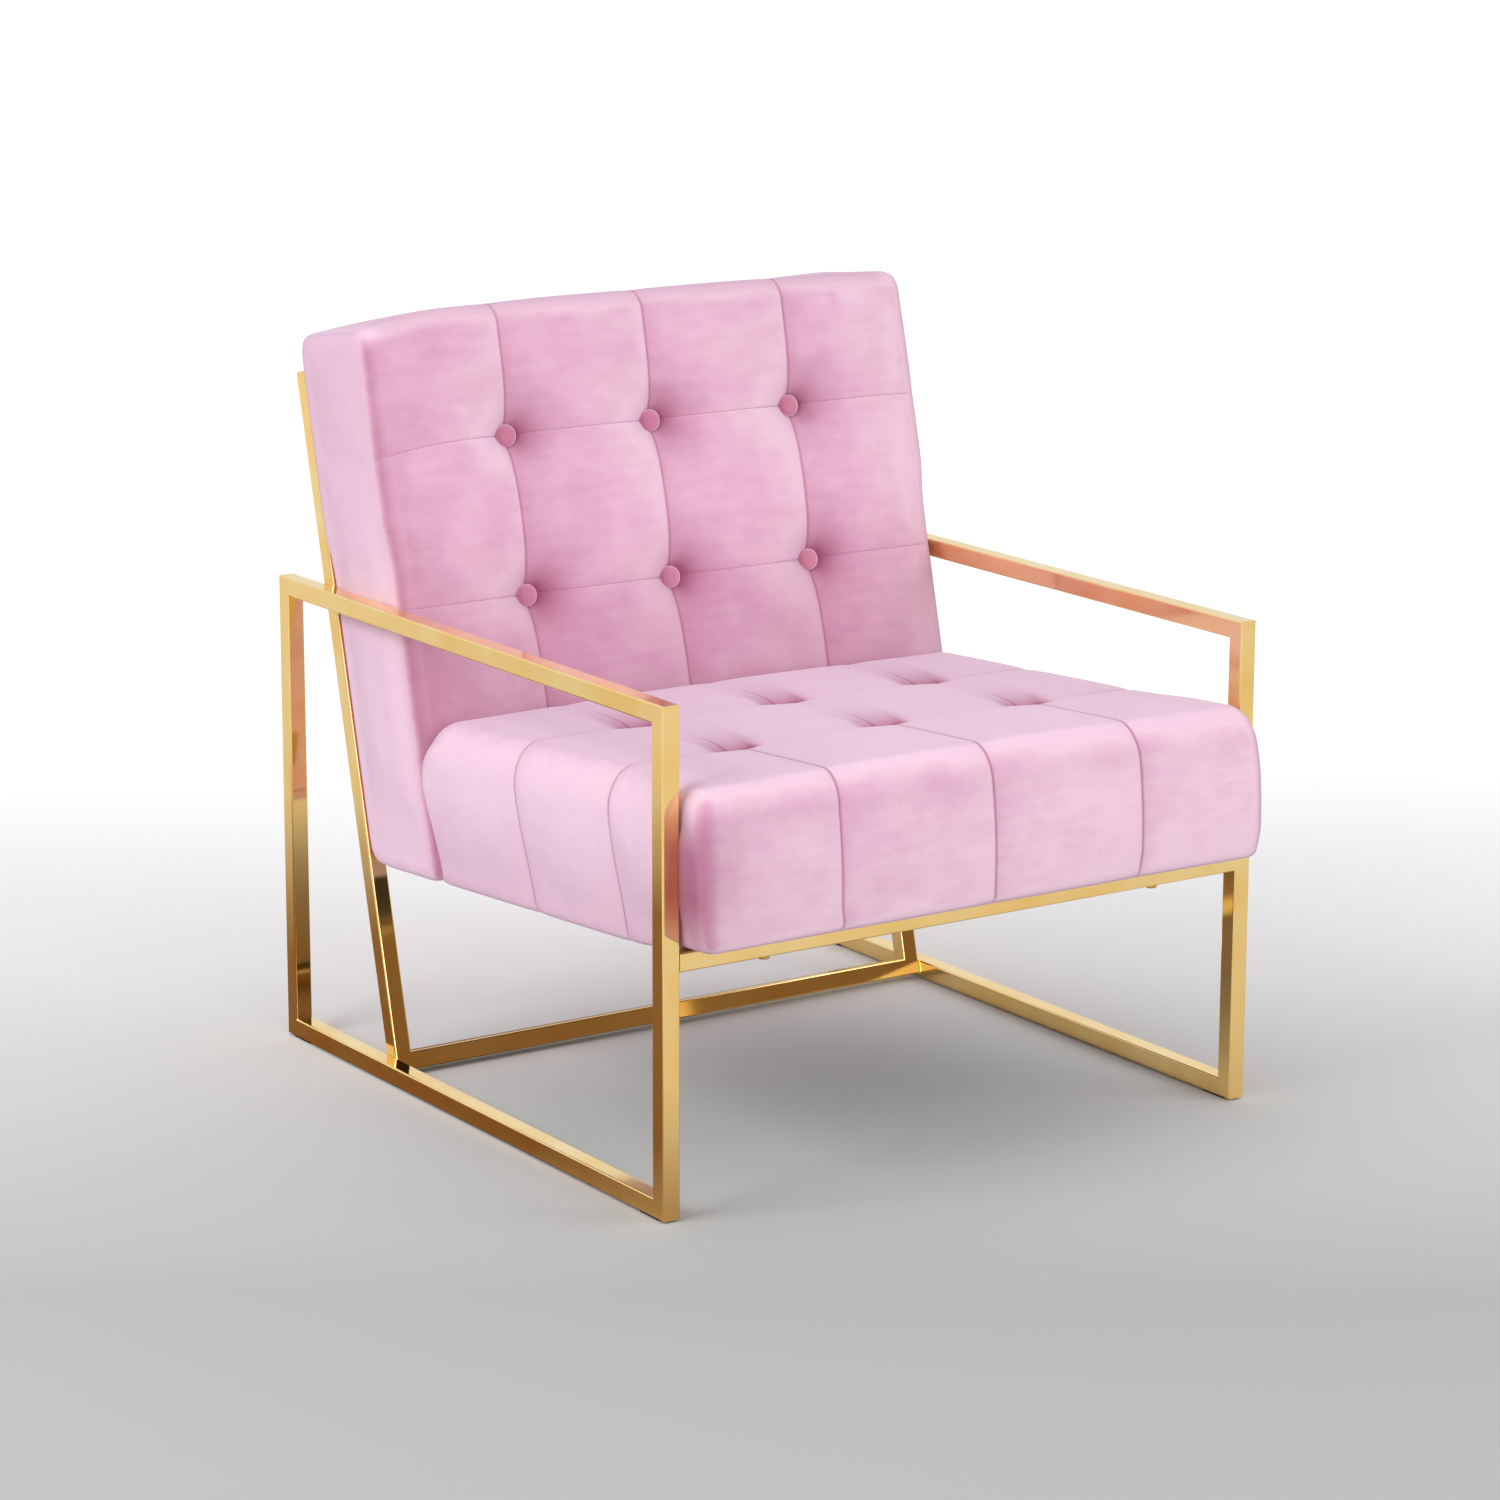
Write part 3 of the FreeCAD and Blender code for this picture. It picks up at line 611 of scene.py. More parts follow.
@dataclass(frozen=True)
class Swelling:
    """How far stuffing pushes a cover out, known at the crossings of a coarse net on its block."""

    lines: tuple[np.ndarray, ...]
    pushes: np.ndarray

    def at(self, points: np.ndarray) -> np.ndarray:
        """Gives the push at points on the block's faces.

        Args:
            points: Points on the faces, one per row.

        Returns:
            How far each is pushed, in the chair's frame.
        """
        cells, shares = [], []
        for axis, line in enumerate(self.lines):
            cell = np.clip(np.searchsorted(line, points[:, axis], side="right") - 1, 0, len(line) - 2)
            cells.append(cell)
            shares.append(np.clip((points[:, axis] - line[cell]) / (line[cell + 1] - line[cell]), 0, 1))
        total = np.zeros((len(points), 3))
        for corner in np.ndindex(2, 2, 2):
            weight = np.ones(len(points))
            for axis, step in enumerate(corner):
                weight = weight * (shares[axis] if step else 1 - shares[axis])
            spot = tuple(cell + step for cell, step in zip(cells, corner))
            total += weight[:, None] * self.pushes[spot]
        return total


@dataclass(frozen=True)
class Stuffing:
    """Foam pressing a sewn cover outwards, found by simulating the cover as cloth."""

    net: float = 0.010
    pressure: float = 4.0
    frames: int = 20
    slack: float = 0.0015
    most: float = 0.004
    stretch_stiffness: float = 20.0
    shear_stiffness: float = 8.0
    bending_stiffness: float = 1.5

    def press(
        self, name: str, block: Block, marks: Sequence[Sequence[float]], surface: Shape, held: Hold
    ) -> Swelling:
        """Simulates a cover from a slightly slack start, with its seams, pulls and hidden sides held.

        Args:
            name: The cover's name.
            block: The cushion's block.
            marks: Where seams cross each of the block's directions.
            surface: The cushion's surface before stuffing.
            held: Gives 1 for block points that can't move, down to 0 for free ones.

        Returns:
            How far each crossing of the net is pushed, capped.
        """
        lines = tuple(
            net_lines([low, *inner, high], self.net) for low, inner, high in zip(block.low, marks, block.high)
        )
        spots, quads = shell(lines)
        place, outward, _ = surface(spots)
        hold = held(spots)
        start = place - outward * (self.slack * (1 - hold))[:, None]
        cover = make_piece(f"{name}_trial", start, quads)
        group = cover.vertex_groups.new(name="held")
        for vertex, weight in enumerate(hold):
            group.add([vertex], float(weight), "REPLACE")
        modifier = cover.modifiers.new("stuffing", "CLOTH")
        cloth = modifier.settings
        cloth.use_pressure = True
        cloth.uniform_pressure_force = self.pressure
        cloth.effector_weights.gravity = 0.0
        cloth.vertex_group_mass = group.name
        cloth.tension_stiffness = cloth.compression_stiffness = self.stretch_stiffness
        cloth.shear_stiffness = self.shear_stiffness
        cloth.bending_stiffness = self.bending_stiffness
        modifier.collision_settings.use_collision = False
        modifier.point_cache.frame_start, modifier.point_cache.frame_end = 1, self.frames
        scene = bpy.context.scene
        for frame in range(1, self.frames + 1):
            scene.frame_set(frame)
        settled = cover.evaluated_get(bpy.context.evaluated_depsgraph_get()).data
        found = np.empty(len(spots) * 3)
        settled.vertices.foreach_get("co", found)
        length = np.sum((found.reshape(-1, 3) - place) * outward, axis=1, keepdims=True)
        LOG.info("stuffed %s: swells up to %.1f mm", name, 1000 * float(length.max()))
        push = outward * np.clip(length, 0.0, self.most)
        mesh = cover.data
        bpy.data.objects.remove(cover)
        bpy.data.meshes.remove(mesh)
        scene.frame_set(1)
        pushes = np.zeros((*(len(line) for line in lines), 3))
        steps = tuple(
            np.rint(np.interp(spots[:, axis], line, np.arange(len(line)))).astype(int)
            for axis, line in enumerate(lines)
        )
        pushes[steps] = push
        return Swelling(lines, pushes)


def net_lines(marks: Sequence[float], spacing: float) -> np.ndarray:
    """Divides a direction evenly between marks, with a line on every mark.

    Args:
        marks: The direction's ends and the places between them that need a line, in rising order.
        spacing: About how far apart the lines are.

    Returns:
        The lines' places.
    """
    parts = [
        np.linspace(low, high, max(round((high - low) / spacing), 1), endpoint=False)
        for low, high in zip(marks, marks[1:])
    ]
    return np.concatenate([*parts, [marks[-1]]])


@dataclass(frozen=True)
class SeamForm:
    """How a seam shapes the cloth, a soft valley with a narrow stitched line along its bottom, and the shade
    painted along it.
    """

    valley_depth: float
    valley_width: float
    line_depth: float
    line_width: float
    # painted shade: in the stitched line, and in the valley
    line_shade: float
    shade_width: float
    valley_shade: float = 0.0
    valley_shade_width: float = 0.010

    def depth(self, gap: np.ndarray, soft: np.ndarray, crisp: np.ndarray) -> np.ndarray:
        """Gives the seam's depth.

        Args:
            gap: Distances from the seam.
            soft: How much of the valley there is at each point.
            crisp: How much of the stitched line there is.

        Returns:
            Depths in metres.
        """
        line = crisp * self.line_depth * slit(gap, self.line_width)
        return soft * self.valley_depth * valley(gap, self.valley_width) + line

    def shade(self, gap: np.ndarray, soft: np.ndarray, crisp: np.ndarray) -> np.ndarray:
        """Gives the shade painted along the seam, in its stitched line and its valley.

        Args:
            gap: Distances from the seam.
            soft: How much of the valley there is at each point.
            crisp: How much of the stitched line there is.

        Returns:
            Painted shade shares.
        """
        line = crisp * self.line_shade * slit(gap, self.shade_width)
        return line + soft * self.valley_shade * valley(gap, self.valley_shade_width)


@dataclass(frozen=True)
class Tuft:
    """One place where the seat's top is drawn down: a short lip, a steep wall in front, a pocket behind."""

    depth: float = 0.022
    half_width: float = 0.013
    flare: float = 0.15
    ease: float = 0.002
    wall: float = 0.0045
    pocket: float = 0.020
    side: float = 0.012
    # painted shade: the pocket's shade lies a little to one side, with a painted dark line at the lip before
    # it and along the seam trailing behind
    lee: float = 0.007
    lee_width: float = 0.004
    shade: float = 2.0
    shade_side: float = 0.006
    shade_pocket: float = 0.030
    lip: float = 0.8
    lip_width: float = 0.0018
    lip_side: float = 0.003
    trail: float = 0.5
    trail_width: float = 0.0016
    trail_end: tuple[float, float] = (0.05, 0.09)

    def pull(self, across: np.ndarray, gap: np.ndarray) -> tuple[np.ndarray, np.ndarray]:
        """Gives how far the tuft pulls the top down.

        Args:
            across: Distances across the chair from the tuft's middle.
            gap: Distances behind its lip.

        Returns:
            Depths in metres, and painted shade shares.
        """
        behind = np.maximum(gap, 0.0)
        width = self.half_width + self.flare * behind
        clear = np.hypot(np.maximum(np.abs(across) - width, 0.0), self.ease) - self.ease
        along = np.maximum(-gap, 0.0) / self.wall + behind / self.pocket
        fall = self.depth * np.exp(-clear / self.side - along)
        # painted shade: in the pocket, in a dark line at the lip and along the seam behind
        beyond = np.maximum(np.abs(across - self.lee) - width - self.lee_width, 0.0)
        shade = np.exp(-beyond / self.shade_side - behind / self.shade_pocket)
        shade *= rise(gap, -2 * self.ease, self.ease / 2)
        trail = slit(across, self.trail_width) * rise(gap, -self.ease, self.ease)
        trail *= 1.0 - rise(gap, *self.trail_end)
        lip = slit(gap + self.ease / 2, self.lip_width) * np.exp(-beyond / self.lip_side)
        return fall, self.shade * shade + self.trail * trail + self.lip * lip


@dataclass(frozen=True)
class ButtonPull:
    """How a button draws the back in: a round dimple with a pleat along the cross seam, and shade painted in
    them.
    """

    depth: float = 0.0190
    reach: float = 0.024
    ease: float = 0.005
    pleat_depth: float = 0.0030
    pleat_reach: float = 0.026
    pleat_width: float = 0.004
    # painted shade, deepest on the dimple's lee side
    lee: tuple[float, float] = (-0.55, 0.85)
    lee_least: float = 0.06
    lee_ease: float = 0.004
    shade: float = 1.95
    shade_reach: float = 0.019
    pleat_shade: float = 0.3

    def pull(self, across: np.ndarray, above: np.ndarray) -> tuple[np.ndarray, np.ndarray]:
        """Gives how far the button draws the front in.

        Args:
            across: Distances across the chair from the button's middle.
            above: Distances up the back from it.

        Returns:
            Depths in metres, and painted shade shares.
        """
        away = np.hypot(across, above)
        soft = np.hypot(away, self.ease) - self.ease
        pleat = np.exp(-away / self.pleat_reach) * valley(above, self.pleat_width)
        depth = self.depth * np.exp(-soft / self.reach) + self.pleat_depth * pleat
        # painted shade in the dimple and the pleat, strongest on the lee side
        lee = mix(self.lee_least, 1.0, rise(across / (away + self.lee_ease), *self.lee))
        return depth, lee * (self.shade * np.exp(-soft / self.shade_reach) + self.pleat_shade * pleat)


@dataclass
class Cushion:
    """What the seat and the back share: the way a block and its sewn surface become pieces.

    Each kind gives its own block, sewn_surface, seams, lines, net_marks and held.
    """

    name: str
    replaced: tuple[str, ...]
    spacing: float = 0.006
    fill: float = 0.85
    seam_hold: float = 0.9
    held_seam: float = 0.004
    swelling: Swelling | None = None

    def surface(self, points: np.ndarray) -> tuple[np.ndarray, np.ndarray, np.ndarray]:
        """Places points of the block on the stuffed cushion.

        Args:
            points: Points on the block's faces.

        Returns:
            Their places, the directions that face outwards there, and the shade painted there.
        """
        place, outward, painted_shade = self.sewn_surface(points)
        if self.swelling is not None:
            place = place + self.swelling.at(points)
        return place, outward, painted_shade

    def build(self, velvet: bpy.types.Material, thread: bpy.types.Material) -> None:
        """Builds and dresses the cushion.

        Args:
            velvet: The cover's finish.
            thread: The stitches' finish.
        """
        marks = self.net_marks()
        self.swelling = Stuffing().press(self.name, self.block, marks, self.sewn_surface, self.held)
        corners, quads = shell(self.lines())
        place, _, painted_shade = self.surface(corners)
        cover = make_piece(f"{self.name}_velvet", place, quads, painted_shade)
        subdivide(cover)
        finish_piece(cover, velvet, self.replaced)
        stitches = sew(f"{self.name}_stitches", self.surface, self.seams(), Thread())
        finish_piece(stitches, thread, ())


@dataclass
class SeatCushion(Cushion):
    """The deep seat: foam under velvet, drawn down in six places, with seams that run over its edges."""

    name: str = "seat"
    replaced: tuple[str, ...] = ("seat_cover", "seat_foam", "left_seat_side_pad", "right_seat_side_pad")
    half_width: float = 0.345
    nose: float = 0.0646
    depth: float = 0.4485
    height: float = 0.161
    drop: float = 0.0106
    tilt: float = 3.5
    rear_slope: float = 10.1
    columns: tuple[float, ...] = (-0.184, 0.0, 0.184)
    rows: tuple[float, ...] = (0.116, 0.290)
    column_seam: SeamForm = SeamForm(0.0015, 0.012, 0.0007, 0.0009, 0.50, 0.0013, 0.09)
    row_seam: SeamForm = SeamForm(0.0022, 0.013, 0.0007, 0.0009, 0.45, 0.0013, 0.08)
    # the rows are shallower on the top than on the sides, and both kinds get more painted shade on the top
    row_top_share: float = 0.0014 / 0.0022
    column_top_shade: float = 1.4
    row_top_shade: float = 0.2 / 0.45
    seam_turn: tuple[float, float] = (0.25, 0.75)
    seam_fade: float = 0.02
    tuft: Tuft = Tuft()
    # where the tufts' shapes end and the stitches start, and where the stitches end at the hem
    stitch_gap: float = 0.029
    stitch_hem: float = 0.003
    # how far the rounding of the upright corners and of the top reaches
    corner: float = 0.014
    side_round: float = 0.018
    nose_round: float = 0.030
    rear_round: float = 0.040
    top_round: float = 0.032
    hem_round: float = 0.010
    upper_zone: tuple[float, float] = (0.085, 0.158)
    # the same along the sides behind the posts, where the cloth is looser
    loose_side_round: float = 0.034
    loose_top_round: float = 0.050
    loose_zone: tuple[float, float] = (0.0, 0.10)
    loose_sides: tuple[float, float] = (0.22, 0.32)
    # how the sides are drawn in, most at the bottom and least beside the front posts, and how they sag
    tuck: float = 0.009
    tuck_top: float = 0.105
    tuck_zone: tuple[float, float] = (-0.03, 0.09)
    nose_tuck: float = 0.05
    waist: float = 0.022
    waist_sides: tuple[float, float] = (0.64, 0.93)
    sag: float = 0.004
    sag_sides: tuple[float, float] = (0.90, 1.0)
    sag_zone: tuple[float, float] = (0.03, 0.10)
    # how the nose spreads in front of the posts
    nose_bulge: float = 0.0055
    bulge_rear: tuple[float, float] = (-0.046, -0.025)
    bulge_foot: tuple[float, float] = (-0.01, 0.03)
    bulge_head: tuple[float, float] = (0.12, 0.165)
    crown: float = 0.005
    # how the rear leans with the back, and is drawn out to meet the back's falling edges
    slope_zone: tuple[float, float] = (0.55, 1.0)
    rear_flare: float = 0.026
    flare_zone: tuple[float, float] = (0.86, 1.0)
    flare_power: int = 9
    # the black dust cloth under the seat
    dust_width: float = 0.316
    dust_recess: float = 0.006
    dust_edge: float = 0.004
    dust_front: tuple[float, float] = (0.004, 0.012)
    # in front of the rail the underside rests level with the rail's top
    rail_gap: float = 0.001
    rail_zone: tuple[float, float] = (0.0, 0.006)
    rail_rise: float = 0.06
    # painted shade: low on the sides, beside the front posts and round the left front corner, and at the top
    # of the nose below its roll
    side_shade: float = 0.25
    post_shade: float = 1.25
    turned_shade: float = 0.85
    turned_reach: float = 0.028
    post_zone: tuple[float, float] = (-0.004, 0.012)
    post_foot: tuple[float, float] = (0.0, 0.06)
    post_foot_least: float = 0.35
    post_head: tuple[float, float] = (0.095, 0.165)
    nose_shade: float = 0.12
    nose_turn: tuple[float, float] = (0.2, 0.6)
    nose_zone: tuple[float, float] = (0.100, 0.135)
    # what the simulation holds still
    held_hem: float = 0.03
    held_rear: float = 0.03
    held_tuft: tuple[float, float] = (0.15, 0.4)

    @property
    def axes(self) -> TiltedAxes:
        """The seat's directions, from the top rear edge of the front rail."""
        _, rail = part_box("front_seat_rail")
        return TiltedAxes(rail.y, rail.z, self.tilt)

    @property
    def block(self) -> Block:
        """The seat before its edges are rounded."""
        return Block(
            (-self.half_width, -self.nose, -self.drop),
            (self.half_width, self.depth, self.height),
        )

    def sewn_surface(self, points: np.ndarray) -> tuple[np.ndarray, np.ndarray, np.ndarray]:
        """Places points of the seat's block on the sewn seat.

        Args:
            points: Points on the block's faces.

        Returns:
            Their places in the chair's frame, the directions that face outwards there, and the shade painted
            there.
        """
        upper = rise(points[:, 2], *self.upper_zone)
        loose = rise(points[:, 1], *self.loose_zone)
        loose_top = loose * rise(np.abs(points[:, 0]), *self.loose_sides)
        side_reach = mix(self.corner, mix(self.side_round, self.loose_side_round, loose), upper)
        top_reach = mix(self.top_round, self.loose_top_round, loose_top)
        front_reach = mix(self.corner, self.nose_round, upper)
        rear_reach = mix(self.corner, self.rear_round, upper)
        place, outward = self.block.rounded(
            points, (side_reach, front_reach, self.hem_round), (side_reach, rear_reach, top_reach)
        )
        x, v, w = place.T.copy()
        up, front = np.clip(outward[:, 2], 0, 1), np.clip(-outward[:, 1], 0, 1)
        side, under = np.abs(outward[:, 0]), np.clip(-outward[:, 2], 0, 1)
        edge = np.abs(x) / self.half_width
        share = np.clip((v + self.nose) / (self.depth + self.nose), 0, 1)
        low = 1.0 - rise(w, -self.drop, self.tuck_top)
        x *= 1.0 - self.tuck / self.half_width * low * mix(self.nose_tuck, 1.0, rise(v, *self.tuck_zone))
        spread = rise(w, *self.bulge_foot) * (1.0 - rise(w, *self.bulge_head))
        x *= 1.0 + self.nose_bulge / self.half_width * spread * (1.0 - rise(v, *self.bulge_rear))
        between = 4 * share * (1 - share)
        v -= self.waist * (1.0 - w / self.height) * rise(edge, *self.waist_sides) * between
        w -= self.sag * low * rise(edge, *self.sag_sides) * rise(v, *self.sag_zone)
        # foam swells between the seams
        v -= self.crown * front * np.sin(np.clip((w + self.drop) / self.height, 0, 1) * math.pi)
        w += self.crown * np.cos(edge * math.pi / 2) * up
        groove, painted_shade = self.seam_grooves(points, up, front, side)
        x, v, w = (np.stack([x, v, w], axis=1) - outward * groove[:, None]).T
        fall, pocket = self.tufts(points)
        w -= up * fall
        v += w * math.tan(math.radians(self.rear_slope)) * rise(share, *self.slope_zone)
        v += self.rear_flare * edge**self.flare_power * rise(share, *self.flare_zone)
        inside = rise(self.dust_width - np.abs(x), 0.0, self.dust_edge) * rise(v, *self.dust_front)
        w += self.dust_recess * under**4 * inside
        resting = (1.0 - rise(v, *self.rail_zone)) * np.clip(1.0 - (w + self.drop) / self.rail_rise, 0, 1)
        w += (self.drop + self.rail_gap) * resting
        # painted shade: in the tuft pockets, low on the sides, beside the front posts, round the left front
        # corner and at the top of the nose
        post_shade_mask = 1.0 - rise(points[:, 1], *self.post_zone)
        post_shade_mask *= mix(self.post_foot_least, 1.0, rise(w, *self.post_foot)) * (1.0 - rise(w, *self.post_head))
        turned = front * valley(self.half_width + points[:, 0], self.turned_reach)
        painted_shade += up * pocket + self.side_shade * side * low
        painted_shade += post_shade_mask * np.maximum(self.post_shade * side, self.turned_shade * turned)
        painted_shade += self.nose_shade * rise(front, *self.nose_turn) * rise(points[:, 2], *self.nose_zone)
        return self.axes.to_chair(np.stack([x, v, w], axis=1)), self.axes.turn(outward), painted_shade

    def seam_grooves(
        self, points: np.ndarray, up: np.ndarray, front: np.ndarray, side: np.ndarray
    ) -> tuple[np.ndarray, np.ndarray]:
        """Gives how deep the seams draw the cover in, and the shade painted along them.

        Args:
            points: Points on the block's faces.
            up: How far each faces up.
            front: How far each faces forward.
            side: How far each faces sideways.

        Returns:
            Depths in metres, and painted shade shares.
        """
        sewn = rise(up + front, *self.seam_turn)
        groove, painted_shade = np.zeros(len(points)), np.zeros(len(points))
        # between the tufts a column is only a soft valley
        first, fade = self.rows[0], self.seam_fade
        before = sewn * (1.0 - rise(points[:, 1], first - fade, first + fade))
        for column in self.columns:
            gap = points[:, 0] - column
            groove += self.column_seam.depth(gap, sewn, before)
            painted_shade += self.column_seam.shade(gap, sewn, before * (1.0 + self.column_top_shade * up**4))
        last = self.columns[-1]
        crisp = np.maximum(side, up * rise(np.abs(points[:, 0]), last - fade, last + fade))
        for row in self.rows:
            gap = points[:, 1] - row
            groove += self.row_seam.depth(gap, side + self.row_top_share * up, crisp)
            painted_shade += self.row_seam.shade(gap, side + up, crisp * (1.0 + self.row_top_shade * up**4))
        return groove, painted_shade

    def tufts(self, points: np.ndarray) -> tuple[np.ndarray, np.ndarray]:
        """Gives how far the six tufts pull the top down, steeply in front and gently behind.

        Args:
            points: Points on the block's faces.

        Returns:
            Depths in metres, and painted shade shares.
        """
        fall, pocket = np.zeros(len(points)), np.zeros(len(points))
        for column in self.columns:
            for row in self.rows:
                depth, shade = self.tuft.pull(points[:, 0] - column, points[:, 1] - row)
                fall, pocket = np.maximum(fall, depth), np.maximum(pocket, shade)
        return fall, pocket

    def seams(self) -> list[np.ndarray]:
        """Corner points of the seams: over the nose, and from the outer tufts down the sides."""
        top, front, hem, reach = self.height, -self.nose, self.stitch_hem, self.stitch_gap
        runs = [
            np.array([[column, self.rows[0] - reach, top], [column, front, top], [column, front, hem]])
            for column in self.columns
        ]
        for row in self.rows:
            for way in (-1, 1):
                inner, outer = way * (self.columns[-1] + reach), way * self.half_width
                runs.append(np.array([[inner, row, top], [outer, row, top], [outer, row, hem]]))
        return runs

    def lines(self) -> list[np.ndarray]:
        """Grid lines of the finished cover."""
        return [
            grid_lines(-self.half_width, self.half_width, self.spacing, self.columns),
            grid_lines(-self.nose, self.depth, self.spacing, [*self.rows, 0.0]),
            grid_lines(-self.drop, self.height, self.spacing),
        ]

    def net_marks(self) -> tuple[Sequence[float], ...]:
        """Where the seams cross each of the block's directions."""
        return (self.columns, self.rows, ())

    def held(self, points: np.ndarray) -> np.ndarray:
        """Holds the seams, the tufts, the hem and the hidden rear.

        Args:
            points: Points on the block's faces.

        Returns:
            1 where the cloth can't move, down to 0 where it is free.
        """
        hold = 1.0 - rise(points[:, 2], 0.0, self.held_hem)
        hold = np.maximum(hold, rise(points[:, 1], self.depth - self.held_rear, self.depth))
        for column in self.columns:
            hold = np.maximum(hold, self.seam_hold * slit(points[:, 0] - column, self.held_seam))
        for row in self.rows:
            hold = np.maximum(hold, self.seam_hold * slit(points[:, 1] - row, self.held_seam))
        fall, _ = self.tufts(points)
        return np.maximum(hold, rise(fall / self.tuft.depth, *self.held_tuft))


@dataclass
class BackCushion(Cushion):
    """The leaning back: thick foam under velvet, six buttons, three strong seams and two faint ones."""

    name: str = "back"
    replaced: tuple[str, ...] = ("back_cover", "back_foam", "back_edge_pad", "back_rear_panel")
    half_width: float = 0.345
    thickness: float = 0.141
    bottom: float = 0.2259
    top: float = 0.806
    lean: float = 13.6
    tube: float = 0.020
    under_slope: float = 10.1
    columns: tuple[float, ...] = (-0.183, 0.0, 0.183)
    rows: tuple[float, ...] = (0.492, 0.664)
    button: ButtonPull = ButtonPull()
    # three strong seams up the front, with painted shade on one side, two faint ones across, and the rear
    # panel's
    column_seam: SeamForm = SeamForm(0.0036, 0.017, 0.0006, 0.0009, 0.32, 0.0013, 0.10, 0.012)
    row_seam: SeamForm = SeamForm(0.0009, 0.014, 0.0004, 0.0009, 0.12, 0.0012)
    panel_seam: SeamForm = SeamForm(0.0, 0.014, 0.0012, 0.0012, 0.8, 0.0016)
    column_top_share: float = 0.3
    shaded_side: tuple[float, float] = (-0.004, 0.002)
    seam_turn: tuple[float, float] = (0.25, 0.75)
    panel_inset: float = 0.018
    # how far the rounding reaches; the front rolls over more towards the top
    side_round: float = 0.009
    front_round: tuple[float, float] = (0.016, 0.026)
    front_round_zone: tuple[float, float] = (0.70, 0.79)
    hem_round: float = 0.012
    rear_round: float = 0.007
    top_round: float = 0.026
    # how far the sides swell, most once they are clear of the arms
    shoulder: float = 0.006
    shoulder_least: float = 0.2
    shoulder_power: int = 5
    clear_of_arms: tuple[float, float] = (0.535, 0.595)
    # how the front falls away towards the sides, and the top's left and right corner in rear and front
    side_fall: float = 0.005
    side_fall_power: int = 9
    corner_fall: tuple[float, float] = (0.011, 0.027)
    corner_shares: tuple[float, float] = (0.80, 0.10)
    corner_power: int = 7
    corner_start: float = 0.45
    crown: float = 0.002
    # how the slanting underside fades upwards, and how the lower rear edge is rounded under
    under_reach: float = 0.16
    heel: float = 0.012
    heel_height: tuple[float, float] = (-0.01, 0.035)
    heel_depth: tuple[float, float] = (-0.05, 0.0)
    # painted shade: low and high on the front, low and high on the sides, on the top, at the edge
    front_shades: tuple[float, float] = (0.50, 0.08)
    front_zone: tuple[float, float] = (0.42, 0.58)
    side_shades: tuple[float, float] = (0.10, 0.32)
    side_zone: tuple[float, float] = (0.40, 0.75)
    top_shade: float = 0.36
    top_turn: tuple[float, float] = (0.0, 0.8)
    top_sides: tuple[float, float] = (0.90, 0.97)
    edge_shade: float = 0.30
    edge_reach: float = 0.014
    # where the stitches end: above the hem, in front of the rear edge and inside the sides
    stitch_hem: float = 0.02
    stitch_rear: float = 0.004
    stitch_side: float = 0.01
    # what the simulation holds still
    row_hold: float = 0.6
    held_foot: tuple[float, float] = (0.03, 0.08)
    held_rear: tuple[float, float] = (-0.03, -0.005)
    held_button: tuple[float, float] = (0.020, 0.034)

    @property
    def axes(self) -> TiltedAxes:
        """The back's directions, from the front foot of the left upright."""
        foot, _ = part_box("left_back_upright")
        return TiltedAxes(foot.y, foot.z + self.tube * math.sin(math.radians(self.lean)), self.lean)

    @property
    def block(self) -> Block:
        """The back before its edges are rounded."""
        return Block((-self.half_width, -self.thickness, self.bottom), (self.half_width, 0.0, self.top))

    def sewn_surface(self, points: np.ndarray) -> tuple[np.ndarray, np.ndarray, np.ndarray]:
        """Places points of the back's block on the sewn back.

        Args:
            points: Points on the block's faces.

        Returns:
            Their places in the chair's frame, the directions that face outwards there, and the shade painted
            there.
        """
        roll = mix(*self.front_round, rise(points[:, 2], *self.front_round_zone))
        place, outward = self.block.rounded(
            points,
            (self.side_round, roll, self.hem_round),
            (self.side_round, self.rear_round, self.top_round),
        )
        x, n, a = place.T.copy()
        up, front = np.clip(outward[:, 2], 0, 1), np.clip(-outward[:, 1], 0, 1)
        edge = np.abs(x) / self.half_width
        deep = np.clip(-n / self.thickness, 0, 1)
        groove, painted_shade = self.seam_grooves(points, up, front, np.clip(outward[:, 1], 0, 1))
        x, n, a = (np.stack([x, n, a], axis=1) - outward * groove[:, None]).T
        for column in self.columns:
            for row in self.rows:
                pull, shade = self.button.pull(points[:, 0] - column, points[:, 2] - row)
                n += front * pull
                painted_shade += front * shade
        free = mix(self.shoulder_least, 1.0, rise(a, *self.clear_of_arms))
        x *= 1.0 + self.shoulder / self.half_width * edge**self.shoulder_power * free
        n *= 1.0 - self.side_fall / self.thickness * edge**self.side_fall_power
        corner = np.where(x < 0, *self.corner_shares) * mix(*self.corner_fall, deep) * edge**self.corner_power
        a -= corner * rise(a, self.corner_start, self.top)
        a += self.crown * np.cos(np.clip(edge, 0, 1) * math.pi / 2) * up
        slanting = 1.0 - rise(a, self.bottom, self.bottom + self.under_reach)
        a += n * math.tan(math.radians(self.under_slope)) * slanting
        heel = (1.0 - rise(a - self.bottom, *self.heel_height)) * rise(n, *self.heel_depth)
        n -= self.heel * heel**2
        # painted shade: deeper low on the front above the seat, on the sides and most higher up, over the top
        # and along the front's side edges
        painted_shade += front * mix(*self.front_shades, rise(points[:, 2], *self.front_zone))
        painted_shade += np.abs(outward[:, 0]) * mix(*self.side_shades, rise(points[:, 2], *self.side_zone))
        painted_shade += self.top_shade * rise(up, *self.top_turn) * (1.0 - rise(edge, *self.top_sides))
        painted_shade += self.edge_shade * front * valley(self.half_width - np.abs(points[:, 0]), self.edge_reach)
        return self.axes.to_chair(np.stack([x, n, a], axis=1)), self.axes.turn(outward), painted_shade

